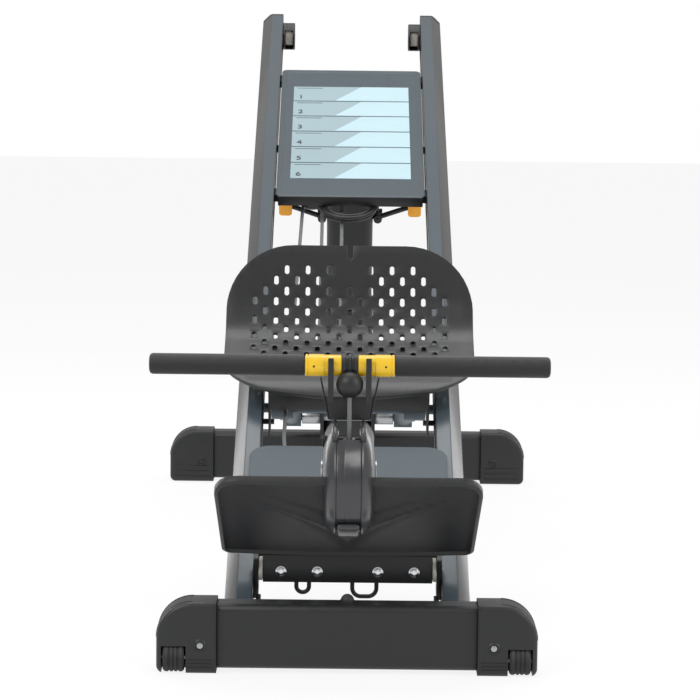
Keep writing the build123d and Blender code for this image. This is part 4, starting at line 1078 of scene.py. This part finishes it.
# ---- ropes and cables -------------------------------------------------------------------------------
def straight_rope(name, start, end, radius, replaced=()):
    """A rope pulled tight between two points, with rings only at its ends."""
    edit = bmesh.new()
    line = Vector(end) - Vector(start)
    turn = line.to_track_quat("Z", "Y").to_matrix().to_4x4()
    bmesh.ops.create_cone(
        edit, cap_ends=True, segments=20, radius1=radius, radius2=radius, depth=line.length,
        matrix=Matrix.Translation((Vector(start) + Vector(end)) / 2) @ turn)
    bmesh.ops.recalc_face_normals(edit, faces=edit.faces[:])
    mesh = bpy.data.meshes.new(name)
    edit.to_mesh(mesh)
    edit.free()
    mesh.shade_smooth()
    mesh.set_sharp_from_angle(angle=SMOOTH)
    mesh.materials.append(FINISHES["rope"])
    rope = bpy.data.objects.new(name, mesh)
    bpy.context.scene.collection.objects.link(rope)
    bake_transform(rope)
    if replaced:
        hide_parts(*replaced)
    return rope


def build_ropes():
    """The handle's rope, the seat's two strands and the turn between them, and the fixed cables."""
    radius = 0.0035
    ends = sorted(points_of("handle_rope"), key=lambda point: point.z)
    count = len(ends) // 2
    foot = sum(ends[:count], Vector()) / count
    head = sum(ends[count:], Vector()) / (len(ends) - count)
    straight_rope("handle_rope_line", foot, head, radius, ("handle_rope",))
    inside = RAIL.inverted()
    rope = [inside @ point for point in points_of("seat_rope")]
    low, high = box_on_rail("seat_rope")
    sheave_low, sheave_high = box_on_rail("carriage_sheave")
    turn_at = (sheave_low.y + sheave_high.y) / 2
    level = (low.z + high.z) / 2
    left = low.x + radius
    right = high.x - radius
    left_top = max(point.y for point in rope if point.x < (left + right) / 2)
    right_top = max(point.y for point in rope if point.x > (left + right) / 2)
    straight_rope("seat_rope_strand_a", RAIL @ Vector((left, left_top, level)),
                  RAIL @ Vector((left, turn_at, level)), radius, ("seat_rope",))
    straight_rope("seat_rope_strand_b", RAIL @ Vector((right, right_top, level)),
                  RAIL @ Vector((right, turn_at, level)), radius)
    turn = bmesh.new()
    middle = (left + right) / 2
    ring = bmesh.ops.create_circle(turn, segments=16, radius=radius)["verts"]
    bmesh.ops.rotate(turn, cent=(0, 0, 0), matrix=Matrix.Rotation(pi / 2, 3, "X"), verts=ring)
    bmesh.ops.translate(turn, vec=(right - middle, 0, 0), verts=ring)
    bmesh.ops.spin(turn, geom=turn.verts[:] + turn.edges[:], cent=(0, 0, 0), axis=(0, 0, 1),
                   angle=-pi, steps=28)
    bmesh.ops.holes_fill(turn, edges=turn.edges[:], sides=20)
    spot = RAIL @ Matrix.Translation((middle, turn_at, level))
    bmesh.ops.transform(turn, matrix=spot, verts=turn.verts[:])
    finish_mesh(turn, "seat_rope_turn", "rope", "seat")
    finished("drive_rope", "rope", 0.0)
    finished("guide_cables", "cable", 0.0)


# ---- stage ------------------------------------------------------------------------------------------
def white_to_camera(name, strength, colour):
    """A surface that is lit by the lamps, and shows white to the camera, mirrors and glass."""
    material = bpy.data.materials.new(name)
    material.use_nodes = True
    tree = material.node_tree
    shader = tree.nodes["Principled BSDF"]
    shader.inputs["Base Color"].default_value = (*colour, 1)
    shader.inputs["Roughness"].default_value = 0.8
    shader.inputs["Specular IOR Level"].default_value = 0.2
    glow = tree.nodes.new("ShaderNodeEmission")
    glow.inputs["Strength"].default_value = 1.0
    paths = tree.nodes.new("ShaderNodeLightPath")
    seen = maths(tree, "MAXIMUM", paths.outputs["Is Camera Ray"], paths.outputs["Is Glossy Ray"])
    seen = maths(tree, "MAXIMUM", seen, paths.outputs["Is Transmission Ray"])
    share = maths(tree, "MULTIPLY", seen, strength)
    mix = tree.nodes.new("ShaderNodeMixShader")
    tree.links.new(share, mix.inputs["Fac"])
    tree.links.new(shader.outputs[0], mix.inputs[1])
    tree.links.new(glow.outputs[0], mix.inputs[2])
    tree.links.new(mix.outputs[0], tree.nodes["Material Output"].inputs["Surface"])
    return material


def lamp(name, place, target, size, power):
    """A soft rectangular lamp aimed at a point."""
    data = bpy.data.lights.new(name, "AREA")
    data.shape = "RECTANGLE"
    data.size, data.size_y = size
    data.energy = power
    thing = bpy.data.objects.new(name, data)
    thing.location = place
    aim = Vector(target) - Vector(place)
    thing.rotation_euler = aim.to_track_quat("-Z", "Y").to_euler()
    bpy.context.scene.collection.objects.link(thing)


def build_stage():
    """A pale floor, a white world, soft lamps and the camera."""
    scene = bpy.context.scene
    edit = bmesh.new()
    bmesh.ops.create_grid(edit, x_segments=2, y_segments=2, size=14.0)
    mesh = bpy.data.meshes.new("floor")
    edit.to_mesh(mesh)
    edit.free()
    mesh.materials.append(white_to_camera("floor_white", 0.86, (0.94, 0.94, 0.94)))
    floor = bpy.data.objects.new("floor", mesh)
    scene.collection.objects.link(floor)
    world = bpy.data.worlds.new("studio")
    world.use_nodes = True
    tree = world.node_tree
    sky = tree.nodes["Background"]
    sky.inputs["Color"].default_value = (1, 1, 1, 1)
    paths = tree.nodes.new("ShaderNodeLightPath")
    seen = maths(tree, "MAXIMUM", paths.outputs["Is Camera Ray"], paths.outputs["Is Transmission Ray"])
    level = maths(tree, "MULTIPLY_ADD", seen, 0.45)
    level.node.inputs[2].default_value = 0.55
    tree.links.new(level, sky.inputs["Strength"])
    scene.world = world
    middle = (0, 0, 0.5)
    lamp("key", (-2.6, -3.2, 3.4), middle, (2.2, 2.2), 74)
    lamp("fill", (3.2, -2.6, 2.2), middle, (2.0, 2.4), 46)
    lamp("rim_left", (-3.0, 1.8, 1.6), middle, (0.8, 2.6), 34)
    lamp("rim_right", (3.0, 1.8, 1.6), middle, (0.8, 2.6), 34)
    lamp("overhead", (0, 0.4, 3.6), middle, (2.4, 1.6), 46)
    camera = bpy.data.cameras.new("camera")
    camera.sensor_width = 36.0
    camera.lens = 152.5
    camera.clip_end = 60
    camera.shift_x = 0.0
    camera.shift_y = 0.0
    thing = bpy.data.objects.new("camera", camera)
    front = middle_of("front_beam")
    stand_off = 4.725
    turned = (
        Matrix.Rotation(radians(-0.13), 4, "Z") @ Matrix.Rotation(radians(90 - 6.83), 4, "X")
        @ Matrix.Rotation(radians(0.64), 4, "Z")
    )
    thing.matrix_world = Matrix.Translation((-0.011, front.y - stand_off, 1.091)) @ turned
    scene.collection.objects.link(thing)
    scene.camera = thing
    scene.view_settings.view_transform = "Standard"


# ---- operators --------------------------------------------------------------------------------------
class ROWER_OT_finishes(bpy.types.Operator):
    """Make the shader groups and every finish"""
    bl_idname = "rower.finishes"
    bl_label = "Finishes"

    def execute(self, context):
        make_finishes(context.scene.rower_colours)
        return {"FINISHED"}


class ROWER_OT_base(bpy.types.Operator):
    """Build the floor beams, caps and wheels"""
    bl_idname = "rower.base"
    bl_label = "Floor beams"

    def execute(self, context):
        build_base()
        return {"FINISHED"}


class ROWER_OT_structure(bpy.types.Operator):
    """Build the rails, the column and what is bolted to them"""
    bl_idname = "rower.structure"
    bl_label = "Rails and column"

    def execute(self, context):
        build_frame()
        return {"FINISHED"}


class ROWER_OT_board(bpy.types.Operator):
    """Build the numbered exercise board"""
    bl_idname = "rower.board"
    bl_label = "Exercise board"

    def execute(self, context):
        build_board()
        return {"FINISHED"}


class ROWER_OT_cover(bpy.types.Operator):
    """Build the slate cover pad"""
    bl_idname = "rower.cover"
    bl_label = "Cover pad"

    def execute(self, context):
        build_cover()
        return {"FINISHED"}


class ROWER_OT_nose(bpy.types.Operator):
    """Build the pulley housing at the front"""
    bl_idname = "rower.nose"
    bl_label = "Nose"

    def execute(self, context):
        build_nose()
        return {"FINISHED"}


class ROWER_OT_footplate(bpy.types.Operator):
    """Build the footplate and its bracket"""
    bl_idname = "rower.footplate"
    bl_label = "Footplate"

    def execute(self, context):
        build_footplate()
        return {"FINISHED"}


class ROWER_OT_seat(bpy.types.Operator):
    """Build the slotted seat"""
    bl_idname = "rower.seat"
    bl_label = "Seat"

    def execute(self, context):
        build_seat(context.scene.rower_sizes)
        return {"FINISHED"}


class ROWER_OT_handle(bpy.types.Operator):
    """Build the handle, its grips and the rope's ball"""
    bl_idname = "rower.handle"
    bl_label = "Handle"

    def execute(self, context):
        build_handle()
        return {"FINISHED"}


class ROWER_OT_ropes(bpy.types.Operator):
    """Build the ropes and cables"""
    bl_idname = "rower.ropes"
    bl_label = "Ropes"

    def execute(self, context):
        build_ropes()
        return {"FINISHED"}


class ROWER_OT_stage(bpy.types.Operator):
    """Build the floor, lamps and camera"""
    bl_idname = "rower.stage"
    bl_label = "Stage"

    def execute(self, context):
        build_stage()
        return {"FINISHED"}


class ROWER_PT_panel(bpy.types.Panel):
    """Lists the steps and the sizes and colours they use."""
    bl_label = "Incline Rowing Trainer"
    bl_idname = "ROWER_PT_panel"
    bl_space_type = "VIEW_3D"
    bl_region_type = "UI"
    bl_category = "Rower"

    def draw(self, context):
        layout = self.layout
        for label in ("edge_round", "slot_width", "slot_height", "slot_pitch", "slot_rows"):
            layout.prop(context.scene.rower_sizes, label)
        for label in ("powder", "moulded", "slate", "yellow", "orange", "board"):
            layout.prop(context.scene.rower_colours, label)
        for step in STEPS:
            layout.operator(step.bl_idname)


STEPS = (
    ROWER_OT_finishes,
    ROWER_OT_base,
    ROWER_OT_structure,
    ROWER_OT_board,
    ROWER_OT_cover,
    ROWER_OT_nose,
    ROWER_OT_footplate,
    ROWER_OT_seat,
    ROWER_OT_handle,
    ROWER_OT_ropes,
    ROWER_OT_stage,
)
CLASSES = (RowerSizes, RowerColours, *STEPS, ROWER_PT_panel)


def register():
    """Adds the classes and the settings to the scene."""
    for kind in CLASSES:
        bpy.utils.register_class(kind)
    bpy.types.Scene.rower_sizes = bpy.props.PointerProperty(type=RowerSizes)
    bpy.types.Scene.rower_colours = bpy.props.PointerProperty(type=RowerColours)


def unregister():
    """Takes the classes and the settings away again."""
    del bpy.types.Scene.rower_colours
    del bpy.types.Scene.rower_sizes
    for kind in reversed(CLASSES):
        bpy.utils.unregister_class(kind)


def main():
    """Builds every piece in order."""
    register()
    for step in STEPS:
        family, action = step.bl_idname.split(".")
        getattr(getattr(bpy.ops, family), action)()


if __name__ == "__main__":
    main()
